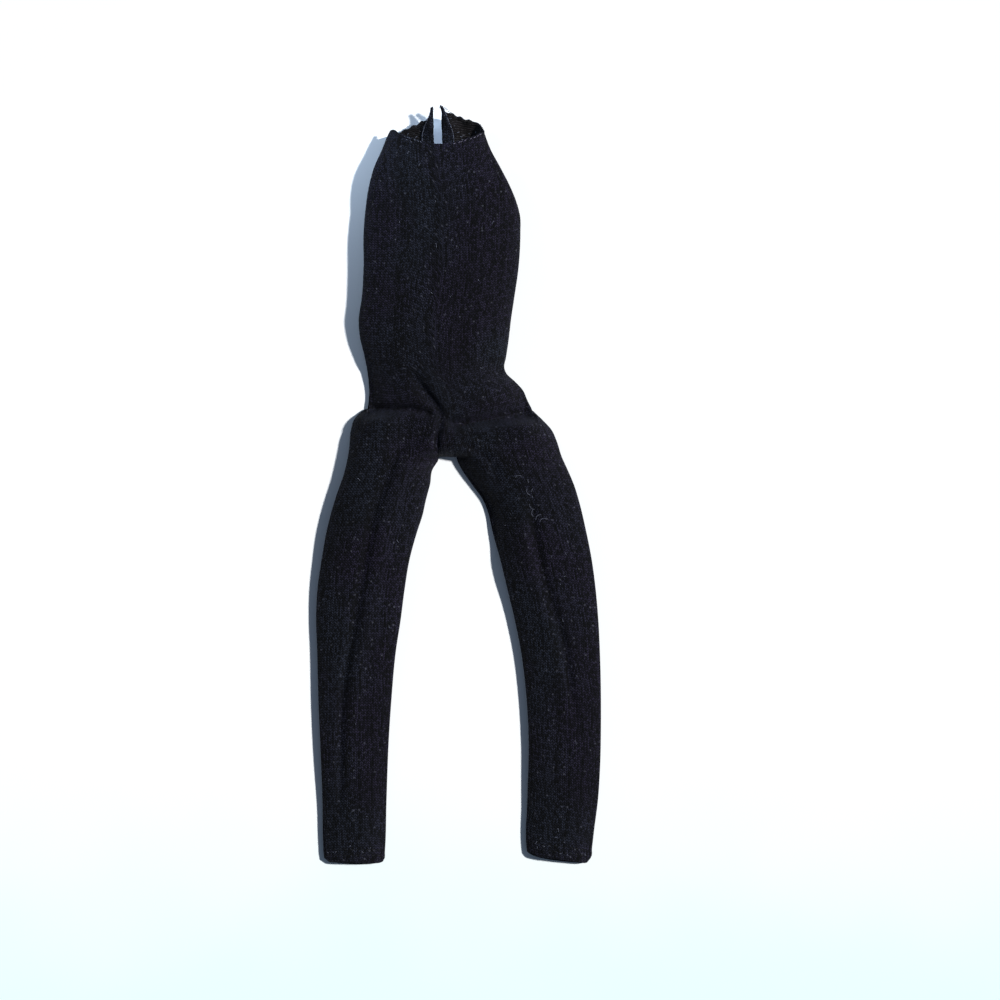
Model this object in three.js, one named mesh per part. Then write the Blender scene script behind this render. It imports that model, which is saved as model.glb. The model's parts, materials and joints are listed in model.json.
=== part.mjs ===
// A doll-scale knit bodysuit, sleeveless and with a halter neck, lying on its back.
//
// Millimetres, +Z up. The suit's front faces +Z, its back panels lie on the plane z = 0, the neck
// points along +Y and the legs along -Y. Left and right are the wearer's, so right is at -X.
// Heights and widths below are measured from the lowest point of the crotch; the last lines move
// the whole group so that its origin is the middle of its resting box.
import * as THREE from "three";

// ---------------------------------------------------------------- driving dimensions
const CLOTH = 0.8; // thickness of the knit
const GAP = 0.3; // clearance between pieces that are sewn face to face
const FACING = 0.5; // thickness of a turned-in edge
const THREAD = 0.25; // radius of a sewing thread

const HIP_SEAM = 11.6; // height of the hip seam at the middle of the body
const HIP_SLOPE = { right: 0.09, left: 0.13 }; // rise of each hip seam towards its own side
const WAIST = 26.4; // heights of the measuring lines of the body
const RIBS = 36;
const CHEST = 66;
const UNDERARM = 75.4;
const NECK = 98.2;
const NECK_DIP = 3.8; // how far the front neckline drops below the neck corners

const HIP_WIDTH = 50.5; // flat widths of the body, side seam to side seam
const WAIST_WIDTH = 41.6;
const RIB_WIDTH = 44.9;
const CHEST_WIDTH = 47.1;
const UNDERARM_WIDTH = 45.4;
const ARMHOLE_WIDTH = 40.2; // halfway up the armholes
const NECK_WIDTH = 28.9;

const INSEAM = 123; // crotch to hem
const CROTCH_WIDTH = 29; // flat widths of a leg
const THIGH_WIDTH = 27.9;
const MID_THIGH_WIDTH = 26.8;
const KNEE_WIDTH = 25;
const CALF_WIDTH = 22.1;
const SHIN_WIDTH = 19.9;
const HEM_WIDTH = 18.3;
const LEG_SHARES = [0, 0.1, 0.25, 0.42, 0.6, 0.85, 1]; // where those widths are, along the inseam

const BODY_HEIGHT = 10; // how high the empty body and legs stand off the table
const HIP_HEIGHT = 8.6;
const LEG_HEIGHT = 6.8;
const KNEE_HEIGHT = 4.8;
const HEM_HEIGHT = 4;
const NECK_HEIGHT_SHARE = 0.86; // height of the neck as a share of the body's
const HIP_TUCK = 2; // the legs are this much wider than the body where they join it
const SIDE_SHARE = 0.48; // height of a side seam as a share of the section's height
const CROWN_POWER = 2.6; // how boxy the front of a section is
const FLAT_SHARE = 0.72; // share of a section's underside that lies flat on the table
const ARMHOLE_LIFT = 1.7; // how far an armhole's free front edge stands above the side seam
const ARMHOLE_DROP = 3.4; // and how far the back edge lies below it
const ARMHOLE_INSET = 1.5; // the back armhole is cut this much deeper

const GUSSET_WIDTH = 4.8;
const SLIT_WIDTH = 2.6; // gap between the two back panels at the neck
const SLIT_BOTTOM = 42; // height of the lower end of the back opening
const SLIT_ASIDE = 0.6; // how far the back opening lies beside the body's middle
const STRIP_WIDTH = 3; // hook-and-loop strips along the back opening
const STRIP_THICK = 0.7;
const STRIP_TOP = 89;
const STRIP_EASE = 5; // length over which the cloth rises onto the strip under it
const FLAP_BASE = 95.2; // height at which a neck flap starts beside the back opening
const FLAP_LIFT = 30; // degrees that each neck flap stands up from the table
const FLAP_RISE = { right: 7.6, left: 7.9 }; // depth of a flap beside the opening, seen from above
const FLAP_TIP = { right: 2.6, left: 2.9 }; // extra length of its pointed corner
const FLAP_REACH = 0.9; // share of the way to the neck corner that a flap takes up
const FLAP_END = 0.7; // depth of a flap at the neck corner
const TIP_SHARPNESS = 14; // how suddenly a flap rises to its corner
const FLAP_GATHER = 1.6; // how much its grid lines gather at that corner

const NECK_FACING = 3; // widths of the turned-in edges
const ARMHOLE_FACING = 2.4;
const ARMHOLE_TURN = 2.2; // from an armhole's edge to its turned-in cloth
const HEM_FACING = 4.5;
const HEM_ROLL = 0.4; // how far the turned-up hem stays above the leg's end
const FLAP_FACING = { from: 0.02, to: 0.2, low: 0.12, high: 0.86 }; // shares of a flap
const NECK_FACING_END = 0.09; // share of the neck's width left free at each end
const ARMHOLE_CLEAR = { low: 1, high: 2 }; // the armhole's facing stops this short of its ends

const NECK_STITCHES = { end: 0.12, down: 0.7 }; // shares of the neck's width and of its facing
const HEM_STITCHES = { end: 0.06, up: 0.75 };
const OVERLOCK = { from: 0.14, to: 0.96 };
const ARMHOLE_STITCH_STOP = 1.5; // from the neck corner to the armhole's last stitch
const SEAM_STOP = 1.5; // seams stop this short of the hip seam and of the hems
const SEAM_ALLOWANCE = 0.4; // from a seam's thread to the inner face of the cloth at its side
const BACK_SEAM_STOP = 4; // and the centre-back seam this short of the opening
const INSEAM_TOP = -4; // where the seams of the legs start under the crotch
const HIP_THREAD_UP = 1.4; // from the hip seam's line to its thread
const HIP_THREAD_END = 0.4; // where that thread ends, as a share of the hip width

// ---------------------------------------------------------------- how the empty suit lies
// Sideways place of the middle of the body and of each leg at the measuring lines.
const BODY_HEIGHTS = [HIP_SEAM, WAIST, RIBS, CHEST, UNDERARM, (UNDERARM + NECK) / 2, NECK];
const BODY_WIDTHS = [
  HIP_WIDTH, WAIST_WIDTH, RIB_WIDTH, CHEST_WIDTH, UNDERARM_WIDTH, ARMHOLE_WIDTH, NECK_WIDTH,
];
const BODY_MIDDLES = [1, -3.4, -3.9, -1.8, -1.9, -2.8, -3.5];
const LEG_WIDTHS = [
  CROTCH_WIDTH, THIGH_WIDTH, MID_THIGH_WIDTH, KNEE_WIDTH, CALF_WIDTH, SHIN_WIDTH, HEM_WIDTH,
];
const LEG_MIDDLES = {
  right: [-17.2, -20.2, -24.7, -27.1, -28, -28, -28],
  left: [17.4, 25.1, 30.1, 33.4, 35.4, 35.1, 34.2],
};
const SIGN = { right: -1, left: 1 };
const SIDES = ["right", "left"];

const { lerp, clamp, smoothstep, degToRad } = THREE.MathUtils;

/** A smooth curve through the values at the given places, which rise. */
function through(places, values) {
  const curve = new THREE.CubicInterpolant(places, values, 1, new Float32Array(1));
  return (at) => curve.evaluate(clamp(at, places[0], places[places.length - 1]))[0];
}

const bodyWidth = through(BODY_HEIGHTS, BODY_WIDTHS);
const bodyMiddle = through(BODY_HEIGHTS, BODY_MIDDLES);
const bodyTop = through(
  [HIP_SEAM, WAIST, CHEST, NECK],
  [HIP_HEIGHT, (HIP_HEIGHT + BODY_HEIGHT) / 2, BODY_HEIGHT, BODY_HEIGHT * NECK_HEIGHT_SHARE],
);
const legWidth = through(LEG_SHARES, LEG_WIDTHS);
const legTop = through(
  [0, 0.1, 0.42, 1],
  [(HIP_HEIGHT + LEG_HEIGHT) / 2, LEG_HEIGHT, KNEE_HEIGHT, HEM_HEIGHT],
);
const legMiddle = {
  right: through(LEG_SHARES, LEG_MIDDLES.right),
  left: through(LEG_SHARES, LEG_MIDDLES.left),
};

/** How open the armhole is at a height: 0 at the underarm and at the neck corner. */
function armhole(y) {
  return Math.sin(Math.PI * clamp((y - UNDERARM) / (NECK - UNDERARM), 0, 1));
}

/** The hip seam's height at a sideways place. */
function hipSeam(x) {
  const side = x < 0 ? "right" : "left";
  return HIP_SEAM + HIP_SLOPE[side] * Math.abs(x);
}

// ---------------------------------------------------------------- sections
/** The crown of an empty tube of cloth, 1 at the middle and 0 at its sides. */
function crown(across) {
  return Math.sqrt(Math.max(0, 1 - Math.abs(clamp(across, -1, 1)) ** CROWN_POWER));
}

/** The turn of its underside, 0 where it lies flat and 1 at its sides. */
function turnUp(across) {
  return clamp((Math.abs(across) - FLAT_SHARE) / (1 - FLAT_SHARE), 0, 1) ** 2;
}

/** The body's section at a height: middle, half width, side and top heights for one panel. */
function bodySection(y, panel) {
  const front = panel === "front";
  const top = bodyTop(y);
  const open = armhole(y);
  const lift = front ? GAP / 2 + ARMHOLE_LIFT * open : -GAP / 2 - ARMHOLE_DROP * open;
  return {
    middle: bodyMiddle(y),
    half: bodyWidth(y) / 2 - (front ? 0 : ARMHOLE_INSET * open),
    side: top * SIDE_SHARE + lift,
    top,
  };
}

/** The inner or outer edge of a leg at a height, as a sideways place. */
function legEdge(y, side, outer) {
  const share = clamp(-y / INSEAM, 0, 1);
  const reach = ((outer ? SIGN[side] : -SIGN[side]) * legWidth(share)) / 2;
  const edge = legMiddle[side](share) + reach;
  if (y <= 0) return edge;
  const seam = outer
    ? bodyMiddle(HIP_SEAM) + (SIGN[side] * (HIP_WIDTH + HIP_TUCK)) / 2
    : SIGN[side] * (GUSSET_WIDTH / 2 + GAP);
  return lerp(edge, seam, smoothstep(y, 0, HIP_SEAM));
}

/** A leg's section at a height. */
function legSection(y, side, panel) {
  const top = legTop(clamp(-y / INSEAM, 0, 1));
  const [inner, outer] = [legEdge(y, side, false), legEdge(y, side, true)];
  return {
    middle: (inner + outer) / 2,
    half: Math.abs(outer - inner) / 2,
    side: top * SIDE_SHARE + (panel === "front" ? GAP : -GAP) / 2,
    top,
  };
}

/** Height of the front (upper) cloth at a place across a section, sunk in by depth. */
function frontHeight(section, x, depth) {
  const across = (x - section.middle) / (section.half - depth);
  return section.side + (section.top - depth - section.side) * crown(across);
}

/** Height of the back (lower) cloth at a place across a section, raised by depth. */
function backHeight(section, x, depth) {
  const across = (x - section.middle) / (section.half - depth);
  return depth + (section.side - depth) * turnUp(across);
}

/** Height of the body's cloth of one panel. */
function bodyHeight(x, y, panel, depth) {
  const section = bodySection(y, panel);
  return panel === "front" ? frontHeight(section, x, depth) : backHeight(section, x, depth);
}

/** Height of a leg's cloth, which takes over the body's section at the hip seam. */
function legHeight(x, y, side, panel, depth) {
  const section = legSection(y, side, panel);
  const own = panel === "front" ? frontHeight(section, x, depth) : backHeight(section, x, depth);
  const down = smoothstep(hipSeam(x) - y, 0, HIP_SEAM);
  return lerp(bodyHeight(x, Math.max(y, HIP_SEAM), panel, depth), own, down);
}

// ---------------------------------------------------------------- solids of cloth and thread
/** A closed sheet of cloth: place(u, v, w) puts u across, v up the suit and w through the cloth. */
function cloth(across, along, place) {
  const sheet = new THREE.BoxGeometry(1, 1, 1, across, along, 1);
  const points = sheet.attributes.position;
  for (let i = 0; i < points.count; i++) {
    const u = Math.round((points.getX(i) + 0.5) * across) / across;
    const v = Math.round((points.getY(i) + 0.5) * along) / along;
    const { x, y, z } = place(u, v, Math.round(points.getZ(i) + 0.5));
    points.setXYZ(i, x, y, z);
  }
  sheet.computeVertexNormals();
  return sheet;
}

/** Spreads grid lines so that they gather at the two sides, where cloth turns. */
function gathered(u) {
  return (1 - Math.cos(Math.PI * u)) / 2;
}

/** A sewing thread along a curve through points. */
function thread(points, steps) {
  const sides = 5;
  const ring = Array.from({ length: sides }, (_, i) => {
    const turn = (2 * Math.PI * i) / sides;
    return new THREE.Vector2(Math.cos(turn), Math.sin(turn)).multiplyScalar(THREAD);
  });
  return new THREE.ExtrudeGeometry(new THREE.Shape(ring), {
    steps,
    bevelEnabled: false,
    extrudePath: new THREE.CatmullRomCurve3(points),
  });
}

/** Points at even steps of a function of t, from t = 0 to 1. */
function sampled(count, at) {
  return Array.from({ length: count + 1 }, (_, i) => {
    const { x, y, z } = at(i / count);
    return new THREE.Vector3(x, y, z);
  });
}

// ---------------------------------------------------------------- materials
const knit = new THREE.MeshStandardMaterial({ color: 0x15161c, roughness: 0.95, metalness: 0 });
const turned = new THREE.MeshStandardMaterial({ color: 0x1a1b22, roughness: 0.95, metalness: 0 });
const sewing = new THREE.MeshStandardMaterial({ color: 0x2a2c35, roughness: 0.7, metalness: 0 });
const tape = new THREE.MeshStandardMaterial({ color: 0x0f1014, roughness: 1, metalness: 0 });

const suit = new THREE.Group();

/** Adds a named piece to the suit. */
function piece(name, geometry, material) {
  const mesh = new THREE.Mesh(geometry, material);
  mesh.name = name;
  suit.add(mesh);
}

// ---------------------------------------------------------------- body panels
/** Height of the front neckline at a place across the neck, -1 to 1. */
function neckline(across) {
  return NECK - NECK_DIP * (1 - across ** 2);
}

/** A point of the front panel's cloth: u across, y up, at a depth below its outer face. */
function frontPoint(u, y, depth) {
  const { middle, half } = bodySection(y, "front");
  const x = middle + (half - depth) * (2 * u - 1);
  return { x, y, z: bodyHeight(x, y, "front", depth) };
}

/** The body's lower edge, just clear of the hip seam, at a share of its width. */
function bodyHem(u) {
  const half = bodyWidth(HIP_SEAM) / 2;
  return hipSeam(bodyMiddle(HIP_SEAM) + half * (2 * u - 1)) + GAP;
}

piece(
  "front_panel",
  cloth(12, 12, (u, v, w) => {
    const across = gathered(u);
    const y = lerp(bodyHem(across), neckline(2 * across - 1), v);
    return frontPoint(across, y, w ? 0 : CLOTH);
  }),
  knit,
);

/** Half the gap between the two back panels at a height. */
function slit(y) {
  return lerp(GAP, SLIT_WIDTH, smoothstep(y, SLIT_BOTTOM - GAP, NECK)) / 2;
}

/** The edge of a back panel along the centre-back line at a height. */
function slitEdge(y, side) {
  return bodyMiddle(y) + SLIT_ASIDE + SIGN[side] * slit(y);
}

/** The outer edge of a back panel at a height. */
function backEdge(y, side) {
  const { middle, half } = bodySection(y, "back");
  return middle + SIGN[side] * half;
}

/** The straight line across which a neck flap folds: height at a sideways place. */
function flapLine(x, side) {
  const start = slitEdge(FLAP_BASE, side);
  const end = backEdge(NECK, side);
  return lerp(FLAP_BASE, NECK - GAP, (x - start) / (end - start));
}

/** How far the left back panel is raised over the strip that is sewn under its edge. */
function overStrip(x, y, side) {
  if (side === "right") return 0;
  const beside = Math.abs(x - slitEdge(y, side)) - STRIP_WIDTH;
  const start = smoothstep(y, SLIT_BOTTOM - 1 - STRIP_EASE, SLIT_BOTTOM - 1);
  const end = 1 - smoothstep(y, STRIP_TOP + 1, FLAP_BASE - 1);
  return (STRIP_THICK + GAP) * start * end * (1 - smoothstep(beside, GAP, STRIP_WIDTH));
}

/** A point of a back panel's cloth: k from the opening (0) to the side (1). */
function backPoint(k, y, side, depth) {
  const inner = slitEdge(y, side);
  const outer = backEdge(y, side) - SIGN[side] * depth;
  const x = lerp(inner, outer, k);
  return { x, y, z: bodyHeight(x, y, "back", depth) + overStrip(x, y, side) };
}

for (const side of SIDES) {
  piece(
    `back_panel_${side}`,
    cloth(8, 12, (u, v, w) => {
      const k = Math.sin((Math.PI / 2) * (side === "right" ? 1 - u : u));
      const low = hipSeam(lerp(slitEdge(HIP_SEAM, side), backEdge(HIP_SEAM, side), k)) + GAP;
      const high = lerp(FLAP_BASE, NECK - GAP, k);
      return backPoint(k, lerp(low, high, v), side, w ? CLOTH : 0);
    }),
    knit,
  );
}

// ---------------------------------------------------------------- leg panels
/** A point of a leg's cloth: u from its right to its left edge, y up, w through the cloth. */
function legPoint(u, y, side, panel, depth) {
  const a = legEdge(y, side, side === "right") + depth;
  const b = legEdge(y, side, side === "left") - depth;
  const x = lerp(a, b, u);
  return { x, y, z: legHeight(x, y, side, panel, depth) };
}

for (const side of SIDES) {
  for (const panel of ["front", "back"]) {
    piece(
      `${side}_leg_${panel}`,
      cloth(8, 14, (u, v, w) => {
        const across = gathered(u);
        const { middle, half } = legSection(HIP_SEAM, side, panel);
        const y = lerp(-INSEAM, hipSeam(middle + half * (2 * across - 1)), v);
        const outer = panel === "front" ? w === 1 : w === 0;
        return legPoint(across, y, side, panel, outer ? 0 : CLOTH);
      }),
      knit,
    );
  }
}

// ---------------------------------------------------------------- crotch gusset
/** The U of cloth that passes between the legs, from the front hip seam round to the back. */
function gusset() {
  const top = bodyTop(HIP_SEAM);
  const start = HIP_SEAM - GAP;
  const outer = top / 2;
  const inner = outer - CLOTH;
  const loop = new THREE.Shape();
  loop.moveTo(start, 0);
  loop.lineTo(outer, 0);
  loop.absarc(outer, outer, outer, -Math.PI / 2, Math.PI / 2, true);
  loop.lineTo(start, top);
  loop.lineTo(start, top - CLOTH);
  loop.lineTo(outer, top - CLOTH);
  loop.absarc(outer, outer, inner, Math.PI / 2, -Math.PI / 2, false);
  loop.lineTo(start, CLOTH);
  const band = new THREE.ExtrudeGeometry(loop, {
    depth: GUSSET_WIDTH,
    bevelEnabled: false,
    curveSegments: 10,
  });
  // The outline was drawn along the suit and up; its depth becomes the width from side to side.
  band.translate(0, 0, -GUSSET_WIDTH / 2);
  band.applyMatrix4(new THREE.Matrix4().makeBasis(
    new THREE.Vector3(0, 1, 0),
    new THREE.Vector3(0, 0, 1),
    new THREE.Vector3(1, 0, 0),
  ));
  return band;
}

piece("crotch_gusset", gusset(), knit);

// ---------------------------------------------------------------- turned-in edges
piece(
  "neck_facing",
  cloth(12, 2, (u, v, w) => {
    const across = lerp(NECK_FACING_END, 1 - NECK_FACING_END, u);
    const y = neckline(2 * across - 1) - NECK_FACING * (1 - v);
    return frontPoint(across, y, CLOTH + GAP + (w ? 0 : FACING));
  }),
  turned,
);

for (const side of SIDES) {
  const fromRight = (share) => (side === "right" ? share : 1 - share);
  piece(
    `${side}_armhole_facing`,
    cloth(2, 10, (u, v, w) => {
      const y = lerp(UNDERARM + ARMHOLE_CLEAR.low, NECK - NECK_FACING - ARMHOLE_CLEAR.high, v);
      const inwards = (ARMHOLE_TURN + ARMHOLE_FACING * fromRight(u)) / bodyWidth(y);
      return frontPoint(fromRight(inwards), y, CLOTH + GAP + (w ? 0 : FACING));
    }),
    turned,
  );

  piece(
    `${side}_armhole_stitching`,
    thread(sampled(6, (t) => {
      const y = lerp(UNDERARM, NECK - ARMHOLE_STITCH_STOP, t);
      const at = frontPoint(fromRight(ARMHOLE_FACING / bodyWidth(y)), y, 0);
      return { ...at, z: at.z + THREAD + GAP };
    }), 9),
    sewing,
  );

  piece(`${side}_leg_hem`, hemBand(side), turned);

  piece(
    `${side}_hem_stitching`,
    thread(sampled(8, (t) => {
      const across = lerp(HEM_STITCHES.end, 1 - HEM_STITCHES.end, t);
      const at = legPoint(across, -INSEAM + HEM_FACING * HEM_STITCHES.up, side, "front", 0);
      return { ...at, z: at.z + THREAD + GAP };
    }), 10),
    sewing,
  );
}

/** The hem turned up inside a leg: a closed band that follows the inside of both leg panels. */
function hemBand(side) {
  const squareness = 0.6; // rounds the band's section like the leg around it
  const halfTurn = 12; // facets of half the band
  const profile = [[1, 0], [2, 0], [2, 1], [1, 1], [1, 0]].map(([r, y]) => new THREE.Vector2(r, y));
  const band = new THREE.LatheGeometry(profile, 2 * halfTurn);
  const points = band.attributes.position;
  for (let i = 0; i < points.count; i++) {
    const ring = Math.hypot(points.getX(i), points.getZ(i));
    const depth = CLOTH + GAP + (Math.round(ring) === 2 ? 0 : FACING);
    const y = -INSEAM + HEM_ROLL + HEM_FACING * points.getY(i);
    const angle = Math.atan2(points.getZ(i), points.getX(i)) / Math.PI;
    const turn = Math.round(angle * halfTurn) / halfTurn;
    const { middle, half, top } = legSection(y, side, "front");
    const [cos, sin] = [Math.cos(Math.PI * turn), Math.sin(Math.PI * turn)];
    const across = (half - depth - GAP) * cos;
    const reach = top / 2 - depth;
    const tall = reach * Math.sign(sin) * Math.abs(sin) ** squareness;
    points.setXYZ(i, middle + across, y, top / 2 + tall);
  }
  band.computeVertexNormals();
  return band;
}

piece(
  "neck_stitching",
  thread(sampled(8, (t) => {
    const across = lerp(NECK_STITCHES.end, 1 - NECK_STITCHES.end, t);
    const y = neckline(2 * across - 1) - NECK_FACING * NECK_STITCHES.down;
    const at = frontPoint(across, y, 0);
    return { ...at, z: at.z + THREAD + GAP };
  }), 12),
  sewing,
);

// ---------------------------------------------------------------- back opening and neck flaps
/** A point of a neck flap: k from the opening towards the neck corner, v from fold to raw edge. */
function flapPoint(k, v, side, above) {
  const start = slitEdge(FLAP_BASE, side);
  const end = lerp(start, backEdge(NECK, side), FLAP_REACH);
  const x = lerp(start, end, k);
  const base = flapLine(x, side) + 2 * GAP;
  const slope = (FLAP_RISE[side] - FLAP_END) * (1 - k);
  const deep = FLAP_END + slope + FLAP_TIP[side] * (1 - k) ** TIP_SHARPNESS;
  const tilt = Math.atan2(NECK - GAP - FLAP_BASE, Math.abs(backEdge(NECK, side) - start));
  const up = deep * v * Math.cos(tilt) * Math.tan(degToRad(FLAP_LIFT));
  return { x, y: base + deep * v, z: above + up };
}

for (const side of SIDES) {
  const across = (u) => (side === "right" ? 1 - u : u);
  piece(
    `${side}_neck_flap`,
    cloth(8, 3, (u, v, w) => flapPoint(across(u) ** FLAP_GATHER, v, side, w ? CLOTH : 0)),
    knit,
  );

  piece(
    `${side}_neck_overlock`,
    thread(sampled(6, (t) => {
      const at = flapPoint(lerp(OVERLOCK.from, OVERLOCK.to, t), 1, side, CLOTH / 2);
      return { ...at, y: at.y + THREAD + GAP };
    }), 12),
    sewing,
  );
}

// The hook strip is sewn on the inner face of the right side, the loop strip on the outer face of
// the left side, so the left side closes over the right.
piece(
  "hook_strip",
  cloth(2, 8, (u, v, w) => {
    const y = lerp(SLIT_BOTTOM, STRIP_TOP, v);
    const x = slitEdge(y, "right") - GAP - STRIP_WIDTH * (1 - u);
    return { x, y, z: CLOTH + GAP + (w ? STRIP_THICK : 0) };
  }),
  tape,
);

piece(
  "loop_strip",
  cloth(2, 8, (u, v, w) => {
    const y = lerp(SLIT_BOTTOM, STRIP_TOP, v);
    const x = slitEdge(y, "left") + GAP + STRIP_WIDTH * u;
    return { x, y, z: w ? STRIP_THICK : 0 };
  }),
  tape,
);

for (const side of SIDES) {
  piece(
    `${side}_flap_facing`,
    cloth(2, 4, (u, v, w) => {
      const inwards = side === "right" ? 1 - u : u;
      const k = lerp(FLAP_FACING.from, FLAP_FACING.to, inwards);
      const at = flapPoint(k, lerp(FLAP_FACING.low, FLAP_FACING.high, v), side, CLOTH + GAP);
      return { ...at, z: at.z + (w ? FACING : 0) };
    }),
    turned,
  );
}

// ---------------------------------------------------------------- seams inside the suit
const SEAM_DEPTH = CLOTH + GAP + THREAD; // from the outer face to a seam thread's middle

for (const side of SIDES) {
  piece(
    `${side}_side_seam`,
    thread(sampled(6, (t) => {
      const y = lerp(hipSeam((SIGN[side] * HIP_WIDTH) / 2) + SEAM_STOP, UNDERARM - 1, t);
      const { middle, half, side: level } = bodySection(y, "front");
      return { x: middle + SIGN[side] * (half - SEAM_DEPTH - SEAM_ALLOWANCE), y, z: level - GAP / 2 };
    }), 9),
    sewing,
  );

  for (const [name, outer] of [["outseam", true], ["inseam", false]]) {
    piece(
      `${side}_leg_${name}`,
      thread(sampled(8, (t) => {
        const y = lerp(-INSEAM + HEM_FACING + SEAM_STOP, INSEAM_TOP, t);
        const { side: level } = legSection(y, side, "front");
        const inwards = (outer ? -SIGN[side] : SIGN[side]) * (SEAM_DEPTH + SEAM_ALLOWANCE);
        return { x: legEdge(y, side, outer) + inwards, y, z: level - GAP / 2 };
      }), 12),
      sewing,
    );
  }

  piece(
    `${side}_hip_seam`,
    thread(sampled(6, (t) => {
      const x = SIGN[side] * lerp(GUSSET_WIDTH, HIP_WIDTH * HIP_THREAD_END, t);
      const y = hipSeam(x) + HIP_THREAD_UP;
      return { x, y, z: bodyHeight(x, y, "front", SEAM_DEPTH) };
    }), 12),
    sewing,
  );
}

piece(
  "centre_back_seam",
  thread(sampled(6, (t) => {
    const y = lerp(HIP_SEAM + SEAM_STOP, SLIT_BOTTOM - BACK_SEAM_STOP, t);
    return { x: slitEdge(y, "right") + GAP / 2, y, z: SEAM_DEPTH };
  }), 10),
  sewing,
);

// ---------------------------------------------------------------- origin
const extent = new THREE.Box3().setFromObject(suit);
const middle = extent.getCenter(new THREE.Vector3());
suit.position.set(-middle.x, -middle.y, -extent.min.z);

export default suit;
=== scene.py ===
"""Looks of a doll-scale knit bodysuit that lies on its back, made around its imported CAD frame.

The suit is a hollow garment of fine black jersey: a body with a halter neck and open armholes, a
back that opens down the middle, and two full legs. Every size below is in millimetres from the
lowest point of the crotch, with X to the wearer's left, Y up to the neck and Z out of the front;
SuitFrame turns them into the metres of the CAD frame.
"""
import json
import logging
import math
import random
from collections.abc import Callable, Sequence
from dataclasses import dataclass, field
from enum import Enum

import bmesh
import bpy
import numpy as np
from mathutils import Matrix, Vector


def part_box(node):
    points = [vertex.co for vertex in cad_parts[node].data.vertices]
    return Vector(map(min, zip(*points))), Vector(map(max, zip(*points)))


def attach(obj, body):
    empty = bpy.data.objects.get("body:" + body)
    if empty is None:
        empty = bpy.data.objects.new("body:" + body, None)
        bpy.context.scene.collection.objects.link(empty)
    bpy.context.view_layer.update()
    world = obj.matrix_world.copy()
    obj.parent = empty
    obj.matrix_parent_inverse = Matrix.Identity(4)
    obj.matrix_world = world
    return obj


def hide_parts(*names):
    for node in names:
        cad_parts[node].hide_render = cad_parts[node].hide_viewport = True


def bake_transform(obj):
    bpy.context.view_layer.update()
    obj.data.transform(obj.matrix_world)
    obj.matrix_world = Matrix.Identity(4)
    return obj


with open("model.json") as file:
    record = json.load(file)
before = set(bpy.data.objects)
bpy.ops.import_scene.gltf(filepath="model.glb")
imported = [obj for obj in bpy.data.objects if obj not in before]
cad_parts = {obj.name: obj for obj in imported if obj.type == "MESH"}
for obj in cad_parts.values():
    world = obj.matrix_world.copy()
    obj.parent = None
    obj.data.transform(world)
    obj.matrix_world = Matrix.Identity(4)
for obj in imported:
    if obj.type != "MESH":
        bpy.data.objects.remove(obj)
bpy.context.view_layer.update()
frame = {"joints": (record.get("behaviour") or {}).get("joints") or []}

MM = 0.001
log = logging.getLogger("bodysuit")


class Side(Enum):
    """The wearer's right or left, with the sign of its X."""

    RIGHT = -1
    LEFT = 1

    @property
    def word(self) -> str:
        """The side's name as it stands in piece names."""
        return self.name.lower()


class Layer(Enum):
    """Which of the two layers of cloth a panel belongs to as the suit lies flat."""

    FRONT = 1
    BACK = -1

    @property
    def word(self) -> str:
        """The layer's name as it stands in piece names."""
        return self.name.lower()


# ------------------------------------------------------------------ curves and folds
def smoothstep(low: float, high: float, value: np.ndarray) -> np.ndarray:
    """Runs from 0 at low to 1 at high, flat at both ends."""
    t = np.clip((value - low) / (high - low), 0.0, 1.0)
    return t * t * (3.0 - 2.0 * t)


def mix(a: np.ndarray, b: np.ndarray, t: np.ndarray) -> np.ndarray:
    """Runs from a at t = 0 to b at t = 1."""
    return a + (b - a) * t


@dataclass(frozen=True)
class SmoothLine:
    """A smooth curve of one value over a place, through a few chosen points.

    Args:
        points: (place, value) pairs, in any order of place.
    """

    points: tuple[tuple[float, float], ...]

    def __call__(self, place: np.ndarray) -> np.ndarray:
        """The curve's value at each place; past its ends it keeps its end value."""
        places, values = np.array(sorted(self.points), float).T
        slopes = np.gradient(values, places)
        at = np.clip(place, places[0], places[-1])
        i = np.clip(np.searchsorted(places, at) - 1, 0, len(places) - 2)
        step = places[i + 1] - places[i]
        t = (at - places[i]) / step
        rise = values[i + 1] - values[i]
        ease = t * t * (3.0 - 2.0 * t)
        bend = t * (1.0 - t) * ((1.0 - t) * slopes[i] - t * slopes[i + 1]) * step
        return values[i] + rise * ease + bend


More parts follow.
